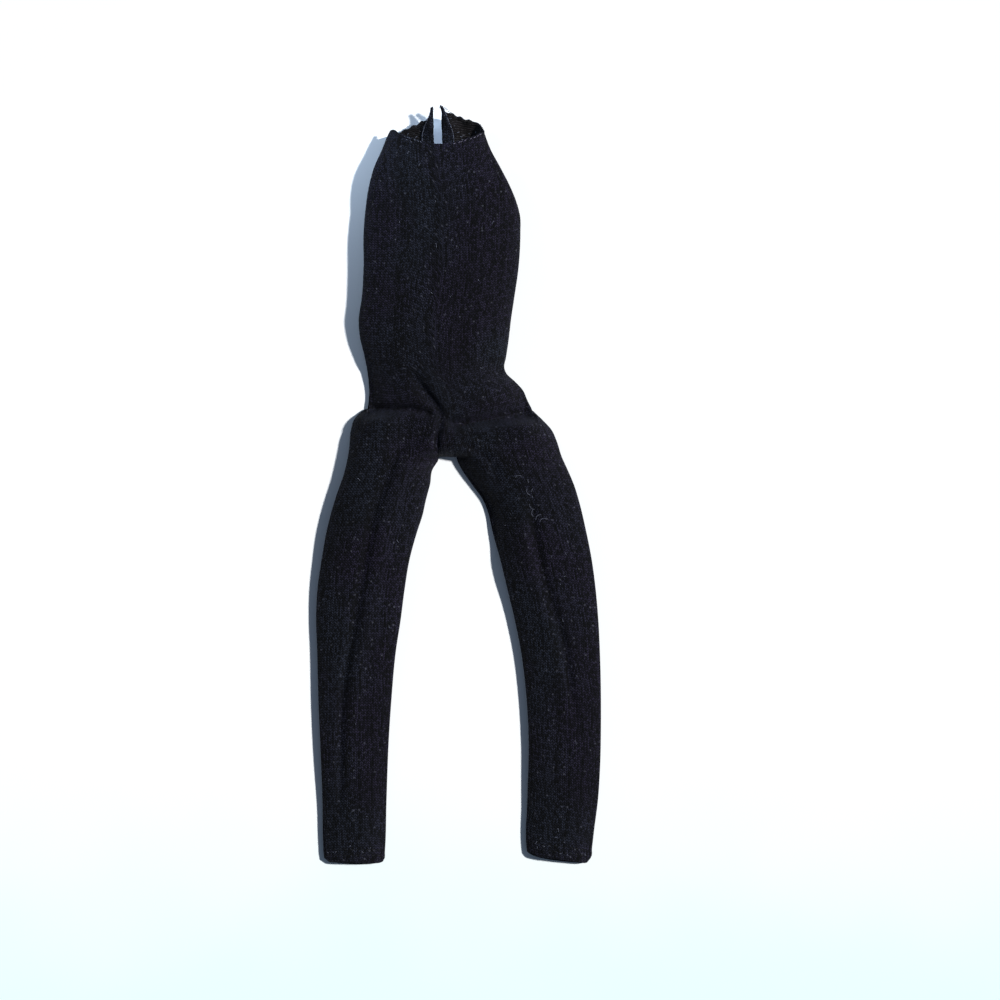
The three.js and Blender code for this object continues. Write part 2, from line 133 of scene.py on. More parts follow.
@dataclass(frozen=True)
class Fold:
    """A crease or a ridge that runs along a path over the lying suit.

    Args:
        path: points (x, y) that the fold follows.
        lift: how far it raises the cloth, negative for a crease.
        width: half its width where it starts.
        end_width: half its width where it ends; 0 keeps the width.
        fade: share of its length over which it dies away at its start and at its end.
    """

    path: tuple[tuple[float, float], ...]
    lift: float
    width: float
    end_width: float = 0.0
    fade: tuple[float, float] = (0.2, 0.2)

    def centreline(self) -> tuple[np.ndarray, np.ndarray]:
        """The path as a fine smooth line.

        Returns:
            The points, and how far along the fold each one is, from 0 to 1.
        """
        path = np.array(self.path, float)
        steps = np.hypot(*np.diff(path, axis=0).T)
        along = np.concatenate([[0.0], np.cumsum(steps)]) / steps.sum()
        fine = np.linspace(0.0, 1.0, 48)
        columns = [SmoothLine(tuple(zip(along, path[:, i])))(fine) for i in (0, 1)]
        return np.stack(columns, axis=1), fine

    def raise_at(self, x: np.ndarray, y: np.ndarray) -> np.ndarray:
        """How far the fold lifts the cloth at each place.

        Args:
            x: sideways places.
            y: places up the suit.

        Returns:
            The lift at each place, negative in a crease.
        """
        line, along = self.centreline()
        nearest = np.full(x.shape, np.inf)
        where = np.zeros(x.shape)
        for i in range(len(line) - 1):
            start, leg = line[i], line[i + 1] - line[i]
            t = np.clip(((x - start[0]) * leg[0] + (y - start[1]) * leg[1]) / (leg @ leg), 0, 1)
            gap = np.hypot(x - start[0] - t * leg[0], y - start[1] - t * leg[1])
            closer = gap < nearest
            nearest = np.where(closer, gap, nearest)
            where = np.where(closer, mix(along[i], along[i + 1], t), where)
        width = mix(self.width, self.end_width or self.width, where)
        dying = smoothstep(0.0, self.fade[0] + 1e-6, where)
        dying = dying * smoothstep(0.0, self.fade[1] + 1e-6, 1.0 - where)
        return self.lift * dying * np.exp(-((nearest / width) ** 2))


# ------------------------------------------------------------------ the lying suit
@dataclass(frozen=True)
class SuitForm:
    """The shape that the empty suit takes as it lies: outlines, thickness and folds.

    Where a line has two numbers for each point, the first is the place and the second the value.
    """

    crotch_rise: float = 11.6
    gusset_half: float = 2.7
    round_side: float = 3.2
    crown_power: float = 2.6
    flat_share: float = 0.72
    gathering: float = 0.8
    lowest_side: float = 0.2
    armhole_lift: float = 1.7
    armhole_drop: float = 3.4
    armhole_inset: float = 1.5
    underarm: float = 75.4
    neck: float = 98.2
    inseam: float = 122.8
    layers_apart: float = 1.15
    edge_turn: float = 0.6

    # Outlines of the body, over the height.
    body_edge: dict = field(default_factory=lambda: {
        Side.RIGHT: SmoothLine((
            (10, -24.6), (14.6, -24.2), (18, -23.8), (26.4, -24.3), (31, -25.2), (36, -26.4),
            (42, -26.8), (48, -25.9), (58, -25.3), (68, -25.3), (75.4, -24.7), (81.2, -23.8),
            (87.3, -22.2), (93.3, -19.6), (97.5, -18.0), (99.5, -17.0),
        )),
        Side.LEFT: SmoothLine((
            (10, 26.8), (14.2, 25.9), (17.3, 24.4), (20.4, 23.0), (23.0, 20.6), (25.2, 18.2),
            (27.2, 17.4), (30, 17.9), (36, 18.8), (42, 19.5), (48, 20.4), (58, 21.8),
            (68, 22.3), (73, 22.2), (77.5, 21.0), (81.2, 19.5), (87.3, 16.4), (93.3, 13.2),
            (97, 11.8), (99.5, 11.0),
        )),
    })
    # Outer and inner outlines of the legs, over the height.
    leg_outer: dict = field(default_factory=lambda: {
        Side.RIGHT: SmoothLine((
            (15, -24.2), (13.6, -26.3), (12, -27.9), (8.2, -29.2), (2, -29.8), (-4, -31.0),
            (-13, -34.0), (-22.2, -36.5), (-31.3, -38.1), (-40.4, -39.4), (-49.6, -39.8),
            (-58.7, -39.5), (-73.9, -39.1), (-86, -38.6), (-104.3, -37.9), (-118, -37.7),
            (-121, -37.5), (-122.6, -37.0), (-123.4, -35.6),
        )),
        Side.LEFT: SmoothLine((
            (15, 25.2), (13.6, 26.6), (11.2, 29.1), (8.2, 31.8), (5.2, 33.2), (0, 34.9),
            (-4, 36.7), (-8.5, 38.6), (-13, 40.0), (-22.2, 42.2), (-31.3, 44.0), (-40.4, 45.2),
            (-49.6, 46.0), (-60, 46.5), (-80, 46.8), (-95, 46.5), (-104.3, 45.9),
            (-113, 44.8), (-119, 44.1), (-122, 43.7), (-123.2, 42.6),
        )),
    })
    leg_inner: dict = field(default_factory=lambda: {
        Side.RIGHT: SmoothLine((
            (15, -2.7), (0.5, -2.7), (-1.0, -2.7), (-2.2, -3.4), (-3.2, -4.1), (-8.5, -5.2),
            (-13, -6.4), (-17.6, -7.4), (-22.2, -8.9), (-31.3, -11.4), (-40.4, -12.9),
            (-49.6, -14.1), (-58.7, -15.5), (-73.9, -16.9), (-86, -17.7), (-104.3, -18.4),
            (-120, -18.9), (-122.4, -19.1), (-123.6, -19.9),
        )),
        Side.LEFT: SmoothLine((
            (15, 2.7), (0.5, 2.7), (-1.5, 3.3), (-4, 4.6), (-8.5, 7.7), (-13, 10.9),
            (-17.6, 12.7), (-22.2, 13.7), (-31.3, 16.2), (-40.4, 18.4), (-49.6, 20.6),
            (-58.7, 22.4), (-73.9, 24.2), (-86, 24.8), (-104.3, 24.4), (-118, 24.1),
            (-120, 24.3), (-123, 25.2),
        )),
    })
    body_top: SmoothLine = SmoothLine(((11, 8.6), (26, 9.3), (66, 10.0), (84, 9.6), (98, 8.6)))
    # Heights of the side edges, where front and back meet; low where the cloth hugs the floor.
    body_side: dict = field(default_factory=lambda: {
        Side.RIGHT: SmoothLine((
            (8, 0.7), (14, 0.6), (19, 0.6), (24, 1.2), (30, 2.2), (39, 3.0), (60, 4.0),
            (78, 3.6), (98, 4.1),
        )),
        Side.LEFT: SmoothLine((
            (8, 1.4), (14, 1.4), (24, 1.5), (30, 2.4), (39, 3.2), (60, 4.1), (98, 4.1),
        )),
    })
    outer_side: dict = field(default_factory=lambda: {
        Side.RIGHT: SmoothLine((
            (14.6, 0.6), (11, 1.2), (5, 2.4), (-13, 3.0), (-50, 2.1), (-93, 2.1), (-112, 1.4),
            (-123, 1.2),
        )),
        Side.LEFT: SmoothLine((
            (14.6, 1.4), (5, 2.0), (-13, 2.6), (-50, 2.2), (-93, 2.0), (-112, 1.4),
            (-123, 1.2),
        )),
    })
    inner_side: dict = field(default_factory=lambda: {
        Side.RIGHT: SmoothLine((
            (14, 0.9), (0, 0.9), (-4, 1.1), (-13, 2.0), (-50, 2.2), (-93, 2.0), (-112, 1.4),
            (-123, 1.2),
        )),
        Side.LEFT: SmoothLine((
            (14, 0.9), (0, 0.9), (-6, 0.5), (-19, 0.5), (-25, 1.2), (-32, 2.6), (-45, 2.3),
            (-93, 2.0), (-112, 1.4), (-123, 1.2),
        )),
    })
    leg_top: SmoothLine = SmoothLine((
        (12, 8.5), (0, 8.0), (-12, 6.9), (-30, 5.7), (-52, 4.9), (-90, 4.2), (-123, 4.0),
    ))
    # The hip seam, over the sideways place, and the neckline of the front.
    hip_seam: SmoothLine = SmoothLine((
        (-28, 14.6), (-18.8, 14.6), (-4.6, 13.9), (-1.5, 11.8), (0.5, 9.8), (8, 10.4),
        (22.5, 13.3), (28, 14.4),
    ))
    neckline: SmoothLine = SmoothLine((
        (-18.5, 97.6), (-17, 99.0), (-15.7, 98.9), (-14.7, 98.0), (-12.8, 97.3), (-9.7, 96.1),
        (-6.7, 95.2), (-2.1, 94.5), (2.4, 95.1), (5.5, 96.1), (8.5, 97.1), (11.2, 98.2),
        (12.5, 97.0),
    ))
    folds: tuple[Fold, ...] = (
        # across the front of the body, down to the crotch
        Fold(((-12.5, 27.5), (-6.7, 19.8), (-1.8, 12.2), (-3.1, 5.2), (-3.0, 0.5)),
             -1.5, 1.5, 1.1, (0.3, 0.1)),
        Fold(((-9.0, 29), (-2.6, 20.5), (1.6, 13.5)), 0.6, 2.4, 2.0, (0.4, 0.3)),
        Fold(((-15.5, 24), (-9.6, 17.6), (-5.2, 14.8)), 0.4, 2.0, 1.6, (0.4, 0.3)),
        # the creases of the hips
        Fold(((-27, 14.5), (-18.8, 14.6), (-11.2, 14.3), (-2.5, 12.6)),
             -2.0, 1.3, 1.1, (0.02, 0.15)),
        Fold(((-1.0, 10.2), (8, 10.4), (16, 11.9), (27, 14.3)),
             -3.1, 1.4, 2.7, (0.1, 0.02)),
        # what stands up beside them
        Fold(((-23, 18.6), (-13, 18.0), (-6, 17.0)), 0.5, 2.2, 2.0, (0.3, 0.3)),
        Fold(((5, 15.6), (13, 16.8), (22, 18.6)), 0.7, 2.2, 2.6, (0.3, 0.15)),
        Fold(((-27, 8.9), (-20.4, 10.2), (-11.2, 9.6)), 0.9, 2.4, 2.2, (0.15, 0.4)),
        Fold(((3.0, 6.0), (13, 7.6), (22.2, 9.2), (29.5, 8.2)), 0.9, 2.1, 2.8, (0.3, 0.2)),
        # fans of small creases beside the crotch
        Fold(((-3.2, 8.4), (-8.0, 6.0), (-12.8, 1.0)), -0.7, 1.0, 1.6, (0.2, 0.5)),
        Fold(((3.0, 4.6), (8.6, 2.2), (14.3, -3.3), (15.6, -10.5)), -1.0, 1.2, 2.2, (0.2, 0.4)),
        Fold(((3.6, 8.2), (9.5, 5.8), (16, 2.0)), -0.45, 0.9, 1.4, (0.3, 0.5)),
        # one long crease down each leg, with the cloth raised inside it
        Fold(((-8.5, 8.0), (-11.9, 5.2), (-15.5, 0), (-18.5, -7.6), (-21.9, -16.1),
              (-23.8, -25), (-26.1, -38.6), (-28.3, -51.7), (-30.1, -61.1), (-31.6, -71.1),
              (-32.3, -84), (-32.4, -100), (-32.5, -113)), -0.85, 1.5, 1.1, (0.06, 0.12)),
        Fold(((-8.5, 2), (-14.5, -9), (-18.0, -18), (-20.6, -30), (-23, -44), (-26.4, -61),
              (-28.4, -76), (-29.2, -100)), 0.55, 2.4, 2.0, (0.15, 0.3)),
        Fold(((24.8, -9), (25.5, -13.7), (27.4, -28), (31.6, -43.8), (35.3, -56.2),
              (37.7, -71.7), (40.4, -84)), -0.9, 1.5, 1.2, (0.12, 0.25)),
        Fold(((20.5, -10), (22.5, -24), (27.0, -42), (31.6, -58), (34.2, -74)),
             0.5, 2.4, 2.0, (0.2, 0.3)),
        # soft dents of the body
        Fold(((-19, 40), (-9, 35), (2, 34), (12, 38)), -0.35, 4.0, 4.0, (0.3, 0.3)),
        Fold(((-23, 47), (-16, 43), (-9, 41)), 0.35, 2.4, 2.4, (0.1, 0.5)),
        Fold(((8, 30), (14, 27.5), (17.2, 26.6)), -0.7, 1.5, 2.0, (0.5, 0.02)),
        Fold(((-24, 27), (-18, 26), (-12, 27)), -0.5, 1.8, 2.2, (0.05, 0.5)),
    )

    hems: dict = field(default_factory=lambda: {
        Side.RIGHT: SmoothLine((
            (-38, -122.5), (-36.6, -123.1), (-34, -123.5), (-30, -123.9), (-22.8, -123.8),
            (-20.4, -123.5), (-19, -122.8),
        )),
        Side.LEFT: SmoothLine((
            (24.2, -120.0), (25.4, -120.9), (29.8, -122.3), (34.4, -123.0), (39, -123.4),
            (42.3, -123.5), (43.8, -122.8),
        )),
    })
    # The slit down the back, and the cut ends of the two back panels.
    slit_middle: SmoothLine = SmoothLine((
        (11, 0.9), (26, -1.4), (36, -2.7), (66, -1.2), (75, -1.3), (87, -2.2), (98, -2.8),
        (107, -2.8),
    ))
    slit_low: float = 41.7
    slit_half: float = 1.3
    seam_half: float = 0.15
    tip_curl: float = 0.75
    raw_ends: dict = field(default_factory=lambda: {
        Side.RIGHT: SmoothLine((
            (-18.5, 97.2), (-16.5, 98.0), (-14.3, 98.8), (-12.9, 99.6), (-11.6, 99.8),
            (-10.4, 100.8), (-9.2, 100.8), (-7.9, 101.9), (-6.6, 102.0), (-5.6, 103.0),
            (-4.9, 104.0), (-4.15, 106.1),
        )),
        Side.LEFT: SmoothLine((
            (-2.3, 106.3), (-1.6, 106.3), (-0.9, 105.0), (0.5, 104.2), (1.8, 104.2),
            (3.0, 103.3), (4.2, 103.3), (5.4, 102.4), (6.8, 102.4), (8.0, 101.8), (9.2, 101.5),
            (10.3, 100.6), (11.0, 99.4), (12.6, 97.4),
        )),
    })
    flap_start: float = 95.4
    flap_slant: float = 0.2
    flap_lift: float = 0.6
    flap_softness: float = 1.2
    flap_ripple: float = 0.35
    strip_top: float = 96.5
    strip_low: float = 42.0
    strip_rise: float = 0.75
    strip_ease: float = 4.0

    def gathered(self, share: np.ndarray) -> np.ndarray:
        """Draws grid lines, 0 to 1, together at both sides, where the cloth turns over."""
        return mix(share, (1.0 - np.cos(np.pi * share)) / 2.0, self.gathering)

    def armhole(self, y: np.ndarray) -> np.ndarray:
        """How open the armhole is at a height: 0 at the underarm and at the neck corner."""
        return np.sin(np.pi * np.clip((y - self.underarm) / (self.neck - self.underarm), 0, 1))

    def crown(self, across: np.ndarray) -> np.ndarray:
        """The rise of the front over a section, 1 at the middle and 0 at the sides."""
        return np.sqrt(np.maximum(0.0, 1.0 - np.abs(across) ** self.crown_power))

    def section(
        self, across: np.ndarray, top: np.ndarray, side: np.ndarray, layer: Layer
    ) -> np.ndarray:
        """Height of one layer of a tube of cloth that lies flat.

        Args:
            across: place over the section, -1 at its right edge and 1 at its left.
            top: height of its front.
            side: height of the layer's side edges.
            layer: the layer that is asked for.

        Returns:
            The height of the layer's outer face.
        """
        if layer is Layer.FRONT:
            # a high side is round, and a low one rises gently from the floor
            ease = mix(1.0, 0.5, np.clip(side / self.round_side, 0.0, 1.0))
            arch = np.maximum(0.0, 1.0 - np.abs(across) ** self.crown_power)
            return side + (top - side) * arch**ease
        turned = np.clip((np.abs(across) - self.flat_share) / (1 - self.flat_share), 0, 1)
        return side * turned**2

    def over_back(self, front: np.ndarray, back: np.ndarray, inwards: np.ndarray) -> np.ndarray:
        """Keeps the front's cloth clear of the back's, up to the turn at the edges.

        Args:
            front: height of the front's outer face.
            back: height of the back's outer face at the same places.
            inwards: how far inside the outline each place is.

        Returns:
            The front's height.
        """
        return np.maximum(front, back + self.layers_apart * smoothstep(0, self.edge_turn, inwards))

    def body_sides(self, y: np.ndarray, layer: Layer) -> tuple[np.ndarray, np.ndarray]:
        """Right and left edges of the body at a height."""
        inset = self.armhole_inset * self.armhole(y) if layer is Layer.BACK else 0.0
        return self.body_edge[Side.RIGHT](y) + inset, self.body_edge[Side.LEFT](y) - inset

    def body_across(self, x: np.ndarray, y: np.ndarray, layer: Layer) -> np.ndarray:
        """Place over the body's section, from -1 to 1."""
        right, left = self.body_sides(y, layer)
        return np.clip((2.0 * x - right - left) / (left - right), -1.0, 1.0)

    def body_smooth(self, x: np.ndarray, y: np.ndarray, layer: Layer) -> np.ndarray:
        """Height of the body's cloth before its folds."""
        across = self.body_across(x, y, layer)
        change = self.armhole_lift if layer is Layer.FRONT else -self.armhole_drop
        side = mix(self.body_side[Side.RIGHT](y), self.body_side[Side.LEFT](y),
                   (across + 1.0) / 2.0) + change * self.armhole(y)
        return self.section(across, self.body_top(y), np.maximum(side, self.lowest_side), layer)

    def fold_height(self, x: np.ndarray, y: np.ndarray) -> np.ndarray:
        """How far all the folds lift the front's cloth."""
        return sum(fold.raise_at(x, y) for fold in self.folds)

    def body_surface(self, x: np.ndarray, y: np.ndarray, layer: Layer) -> np.ndarray:
        """Height of the body's outer face, folds and all."""
        smooth = self.body_smooth(x, y, layer)
        if layer is Layer.BACK:
            return smooth
        strength = np.sqrt(self.crown(self.body_across(x, y, layer)))
        right, left = self.body_sides(y, layer)
        return self.over_back(smooth + self.fold_height(x, y) * strength,
                              self.body_smooth(x, y, Layer.BACK), np.minimum(x - right, left - x))

    def crotch_turn(self, y: np.ndarray) -> np.ndarray:
        """How far the cloth has turned over the crotch, 0 above it and 1 at its lowest edge."""
        radius = self.body_top(self.crotch_rise) / 2.0
        return 1.0 - np.sqrt(1.0 - (1.0 - np.clip(y, 0.0, radius) / radius) ** 2)

    def leg_sides(self, y: np.ndarray, side: Side) -> tuple[np.ndarray, np.ndarray]:
        """Right and left edges of one leg at a height."""
        edges = self.leg_outer[side](y), self.leg_inner[side](y)
        return edges if side is Side.RIGHT else edges[::-1]

    def leg_surface(
        self, x: np.ndarray, y: np.ndarray, side: Side, layer: Layer
    ) -> np.ndarray:
        """Height of a leg's outer face; at the hip seam it is the body's own.

        Args:
            x: sideways places.
            y: places up the suit.
            side: which leg.
            layer: its front or its back.

        Returns:
            The height of the outer face at each place.
        """
        right, left = self.leg_sides(y, side)
        across = np.clip((2.0 * x - right - left) / (left - right), -1.0, 1.0)
        top = self.leg_top(y)
        outwards = (1.0 + across * side.value) / 2.0
        edge = mix(self.inner_side[side](y), self.outer_side[side](y), outwards)
        own = self.section(across, top, edge, layer)
        seam = self.hip_seam(x)
        above = np.maximum(y, seam)
        body = self.body_smooth(x, above, layer)
        turned = mix(self.crotch_turn(y), smoothstep(0.0, 4.0, seam - y),
                     smoothstep(0.1, 0.7, outwards))
        # what juts out beyond the body is the leg's own from the seam on
        body_right, body_left = self.body_sides(above, layer)
        beyond = np.maximum(body_right - x, x - body_left)
        turned = np.maximum(turned, smoothstep(-0.4, 1.2, beyond))
        share = np.where(y < 0, 1.0, turned)
        smooth = mix(body, own, share)
        if layer is Layer.BACK:
            return smooth
        strength = mix(np.sqrt(self.crown(self.body_across(x, above, layer))),
                       np.sqrt(self.crown(across)), share)
        return self.over_back(smooth + self.fold_height(x, y) * strength,
                              self.leg_surface(x, y, side, Layer.BACK),
                              np.minimum(x - right, left - x))

    def gusset_surface(self, x: np.ndarray, y: np.ndarray, layer: Layer) -> np.ndarray:
        """Height of the gusset between the legs, which turns over the crotch."""
        turned = self.crotch_turn(y)
        side = self.inner_side[Side.RIGHT](y)
        body = self.body_smooth(x, np.maximum(y, self.hip_seam(x)), layer)
        if layer is Layer.BACK:
            return mix(body, side, turned)
        return mix(body, side, turned) + self.fold_height(x, y) * (1.0 - turned)

    def slit_edge(self, y: np.ndarray, side: Side) -> np.ndarray:
        """Edge of the back's slit at a height, which closes to a seam lower down."""
        open_share = smoothstep(self.slit_low, self.neck, y)
        curl = self.tip_curl * smoothstep(104.0, 107.0, y) if side is Side.LEFT else 0.0
        half = mix(self.seam_half, self.slit_half, open_share)
        return self.slit_middle(y) + side.value * half - curl

    def flap_distance(self, x: np.ndarray, y: np.ndarray, side: Side) -> np.ndarray:
        """How far beyond the line where the neck flap lifts a place is."""
        outwards = np.abs(x - self.slit_edge(np.full_like(x, self.flap_start), side))
        return y - self.flap_start - self.flap_slant * outwards

    def back_surface(self, x: np.ndarray, y: np.ndarray, side: Side) -> np.ndarray:
        """Height of a back panel's outer face, with its lifted neck flap.

        Args:
            x: sideways places.
            y: places up the suit.
            side: which panel.

        Returns:
            The height of the outer face at each place.
        """
        beyond = self.flap_distance(x, y, side)
        lifted = self.flap_lift * (beyond + np.sqrt(beyond**2 + self.flap_softness**2)) / 2.0
        lifted = lifted * smoothstep(-6.0, 0.0, beyond)
        wave = np.sin((x + 0.7 * y) * 0.9)
        ripple = self.flap_ripple * wave * smoothstep(0.5, 5.0, beyond)
        rest = self.body_smooth(x, np.minimum(y, self.neck), Layer.BACK)
        laps = 0.0
        if side is Side.LEFT:
            from_slit = x - self.slit_edge(y, side)
            laps = self.strip_rise * smoothstep(7.0, 4.0, from_slit)
            laps = laps * smoothstep(self.strip_low - self.strip_ease, self.strip_low, y)
            laps = laps * smoothstep(self.strip_top + self.strip_ease, self.strip_top, y)
        return rest + lifted + ripple + laps


FORM = SuitForm()


@dataclass(frozen=True)
class SuitFrame:
    """Where the suit's millimetres lie in the CAD frame."""

    origin: Vector

    @classmethod
    def from_gusset(cls) -> "SuitFrame":
        """Reads the crotch's place off the CAD gusset."""
        low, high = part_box("crotch_gusset")
        return cls(Vector(((low.x + high.x) / 2, low.y, 0.0)))

    def metres(self, points: np.ndarray) -> np.ndarray:
        """Points in millimetres from the crotch, as metres in the frame."""
        return np.asarray(points, float) * MM + np.array(self.origin)

    def point(self, x: float, y: float, z: float) -> Vector:
        """One point in the frame."""
        return Vector(self.metres(np.array([x, y, z])))


PLACE = SuitFrame.from_gusset()


# ------------------------------------------------------------------ finishes
def hex_colour(code: str) -> tuple[float, float, float, float]:
    """An sRGB colour such as '#1a1b22' as linear red, green, blue and alpha."""
    parts = [int(code[i : i + 2], 16) / 255 for i in (1, 3, 5)]
    linear = [c / 12.92 if c <= 0.04045 else ((c + 0.055) / 1.055) ** 2.4 for c in parts]
    return (*linear, 1.0)


def add_node(
    tree: bpy.types.NodeTree, kind: str, values: dict | None = None, links: dict | None = None,
    **settings: object,
) -> bpy.types.Node:
    """Adds a node to a tree.

    Args:
        tree: the material's or world's node tree.
        kind: the node's type, without its ShaderNode prefix.
        values: input name or number to the constant that it holds.
        links: input name or number to the socket that feeds it.
        **settings: the node's own settings.

    Returns:
        The new node.
    """
    node = tree.nodes.new("ShaderNode" + kind)
    for name, value in settings.items():
        setattr(node, name, value)
    for name, value in (values or {}).items():
        node.inputs[name].default_value = value
    for name, source in (links or {}).items():
        tree.links.new(source.outputs[0] if hasattr(source, "outputs") else source,
                       node.inputs[name])
    return node


def new_material(name: str) -> bpy.types.Material:
    """An empty node material."""
    material = bpy.data.materials.new(name)
    material.use_nodes = True
    material.node_tree.nodes.clear()
    return material


@dataclass(frozen=True)
class JerseyKnit:
    """Fine single jersey of cotton and elastane, dyed black.

    Its wales (upright columns of V-shaped loops) give faint ribs, and the yarn is matt with a
    short fuzz that lightens where the cloth turns away. Painted into the colour are the shade
    between the loops, a highlight of random strength on each loop leg, and pale specks that stand
    for loose fibre ends and for painted highlights on yarn crests.

    Args:
        name: the material's name.
        groove: painted shade between the loops.
        yarn: colour on top of the loops.
        cool_yarn: the same where the dye leans to blue.
        speck: colour of the pale specks, for caught fibre ends and for painted highlights on yarn
            crests.
        fuzz: tint of the fuzz.
        v_faced: True for the V-faced outside, False for the inside's crosswise bumps.
        sheen: strength of the fuzz.
        wale: width of one column of loops, in millimetres.
        course: height of one row of loops.
        speck_spacing: distance between the cells that may hold a speck.
        relief: how far the loops stand up.
    """

    name: str = "black_jersey_knit"
    groove: str = "#020203"
    yarn: str = "#292538"
    cool_yarn: str = "#252936"
    speck: str = "#565763"
    fuzz: str = "#aab4d6"
    v_faced: bool = True
    sheen: float = 0.04
    wale: float = 1.0
    course: float = 0.76
    speck_spacing: float = 1.6
    relief: float = 0.3

    def loops(
        self, tree: bpy.types.NodeTree, uv: bpy.types.Node
    ) -> tuple[bpy.types.Node, bpy.types.Node]:
        """The loops' height over the cloth, and how bright the painted highlight on each loop is.

        Args:
            tree: the material's tree.
            uv: the node that gives the cloth's own coordinates in metres.

        Returns:
            A Math node with the height, from 0 to about 1, and a node with a random number
            from 0 to 1 for each leg of each loop.
        """
        split = add_node(tree, "SeparateXYZ", links={0: uv})
        # a slow drift of the wales, as the jersey is pulled about
        drift = add_node(tree, "TexNoise", {"Scale": 1 / (11 * MM), "Detail": 1.0},
                         {"Vector": uv}, noise_dimensions="2D")
        pull = add_node(tree, "Math", {1: 1.6}, {0: drift}, operation="MULTIPLY")
        wales = add_node(tree, "Math", {1: 1 / (self.wale * MM)},
                         {0: split.outputs[0], 2: pull}, operation="MULTIPLY_ADD")
        courses = add_node(tree, "Math", {1: 1 / (self.course * MM)},
                           {0: split.outputs[1], 2: pull}, operation="MULTIPLY_ADD")
        beside = add_node(tree, "Math", {1: 0.5}, {0: wales}, operation="PINGPONG")
        slant = add_node(tree, "Math", {1: 1.3 if self.v_faced else 0.5},
                         {0: beside, 2: courses}, operation="MULTIPLY_ADD")
        turn = add_node(tree, "Math", {1: 2 * math.pi}, {0: slant}, operation="MULTIPLY")
        bumps = add_node(tree, "Math", links={0: turn}, operation="SINE")
        across = add_node(tree, "Math", {1: 2 * math.pi}, {0: beside}, operation="MULTIPLY")
        legs = add_node(tree, "Math", links={0: across}, operation="SINE")
        rise = add_node(tree, "Math", {1: 0.45, 2: 0.5}, {0: bumps},
                        operation="MULTIPLY_ADD")
        ribbing = 0.75 if self.v_faced else 0.3
        body = add_node(tree, "Math", {1: ribbing, 2: 1.0 - ribbing}, {0: legs},
                        operation="MULTIPLY_ADD")
        height = add_node(tree, "Math", links={0: body, 1: rise}, operation="MULTIPLY")
        column = add_node(tree, "Math", {1: 2.0}, {0: wales}, operation="MULTIPLY")
        column = add_node(tree, "Math", links={0: column}, operation="FLOOR")
        row = add_node(tree, "Math", {1: 0.25}, {0: slant}, operation="ADD")
        row = add_node(tree, "Math", links={0: row}, operation="FLOOR")
        cell = add_node(tree, "CombineXYZ", links={0: column, 1: row})
        of_loop = add_node(tree, "TexWhiteNoise", links={"Vector": cell},
                           noise_dimensions="2D")
        of_wale = add_node(tree, "TexWhiteNoise", links={"W": column}, noise_dimensions="1D")
        chance = add_node(tree, "Mix", {0: 0.3}, {2: of_loop, 3: of_wale})
        return height, chance

    def specks(self, tree: bpy.types.NodeTree, uv: bpy.types.Node) -> bpy.types.Node:
        """Where a pale speck sits, from 0 to 1: a few of many small cells, each its own. The
        specks stand for caught fibre ends and for painted highlights on yarn crests.
        """
        cells = add_node(tree, "TexVoronoi",
                         {"Scale": 1 / (self.speck_spacing * MM), "Randomness": 1.0},
                         {"Vector": uv}, voronoi_dimensions="2D")
        near = add_node(tree, "MapRange", {"From Min": 0.24, "From Max": 0.07},
                        {"Value": cells.outputs["Distance"]})
        pick = add_node(tree, "SeparateColor", links={0: cells.outputs["Color"]})
        chosen = add_node(tree, "MapRange", {"From Min": 0.86, "From Max": 1.0, "To Max": 0.6},
                          {"Value": pick})
        return add_node(tree, "Math", links={0: near, 1: chosen}, operation="MULTIPLY")

    def build(self) -> bpy.types.Material:
        """Makes the material; its pattern follows the piece's own UV map, which is in metres.

        Returns:
            The material.
        """
        material = new_material(self.name)
        tree = material.node_tree
        uv = add_node(tree, "UVMap", uv_map="cloth")
        height, chance = self.loops(tree, uv)
        hairs = add_node(tree, "TexNoise",
                         {"Scale": 1 / (0.6 * MM), "Detail": 3.0, "Roughness": 0.7},
                         {"Vector": uv}, noise_dimensions="2D")
        surface = add_node(tree, "Math", {1: 0.5}, {0: hairs, 2: height},
                           operation="MULTIPLY_ADD")
        # painted highlights: every loop leg stands up and catches the light differently
        lively = add_node(tree, "Math", {1: 1.7}, {0: chance}, operation="POWER")
        bright = add_node(tree, "MapRange",
                          {"From Min": 0.03, "From Max": 0.75, "To Min": 0.02, "To Max": 1.5},
                          {"Value": lively})
        # painted shade: darker down between the loops, after the loops' height and fuzz
        shade = add_node(tree, "MapRange", {"From Min": 0.25, "From Max": 1.15},
                         {"Value": surface})
        lit = add_node(tree, "Math", links={0: shade, 1: bright}, operation="MULTIPLY")
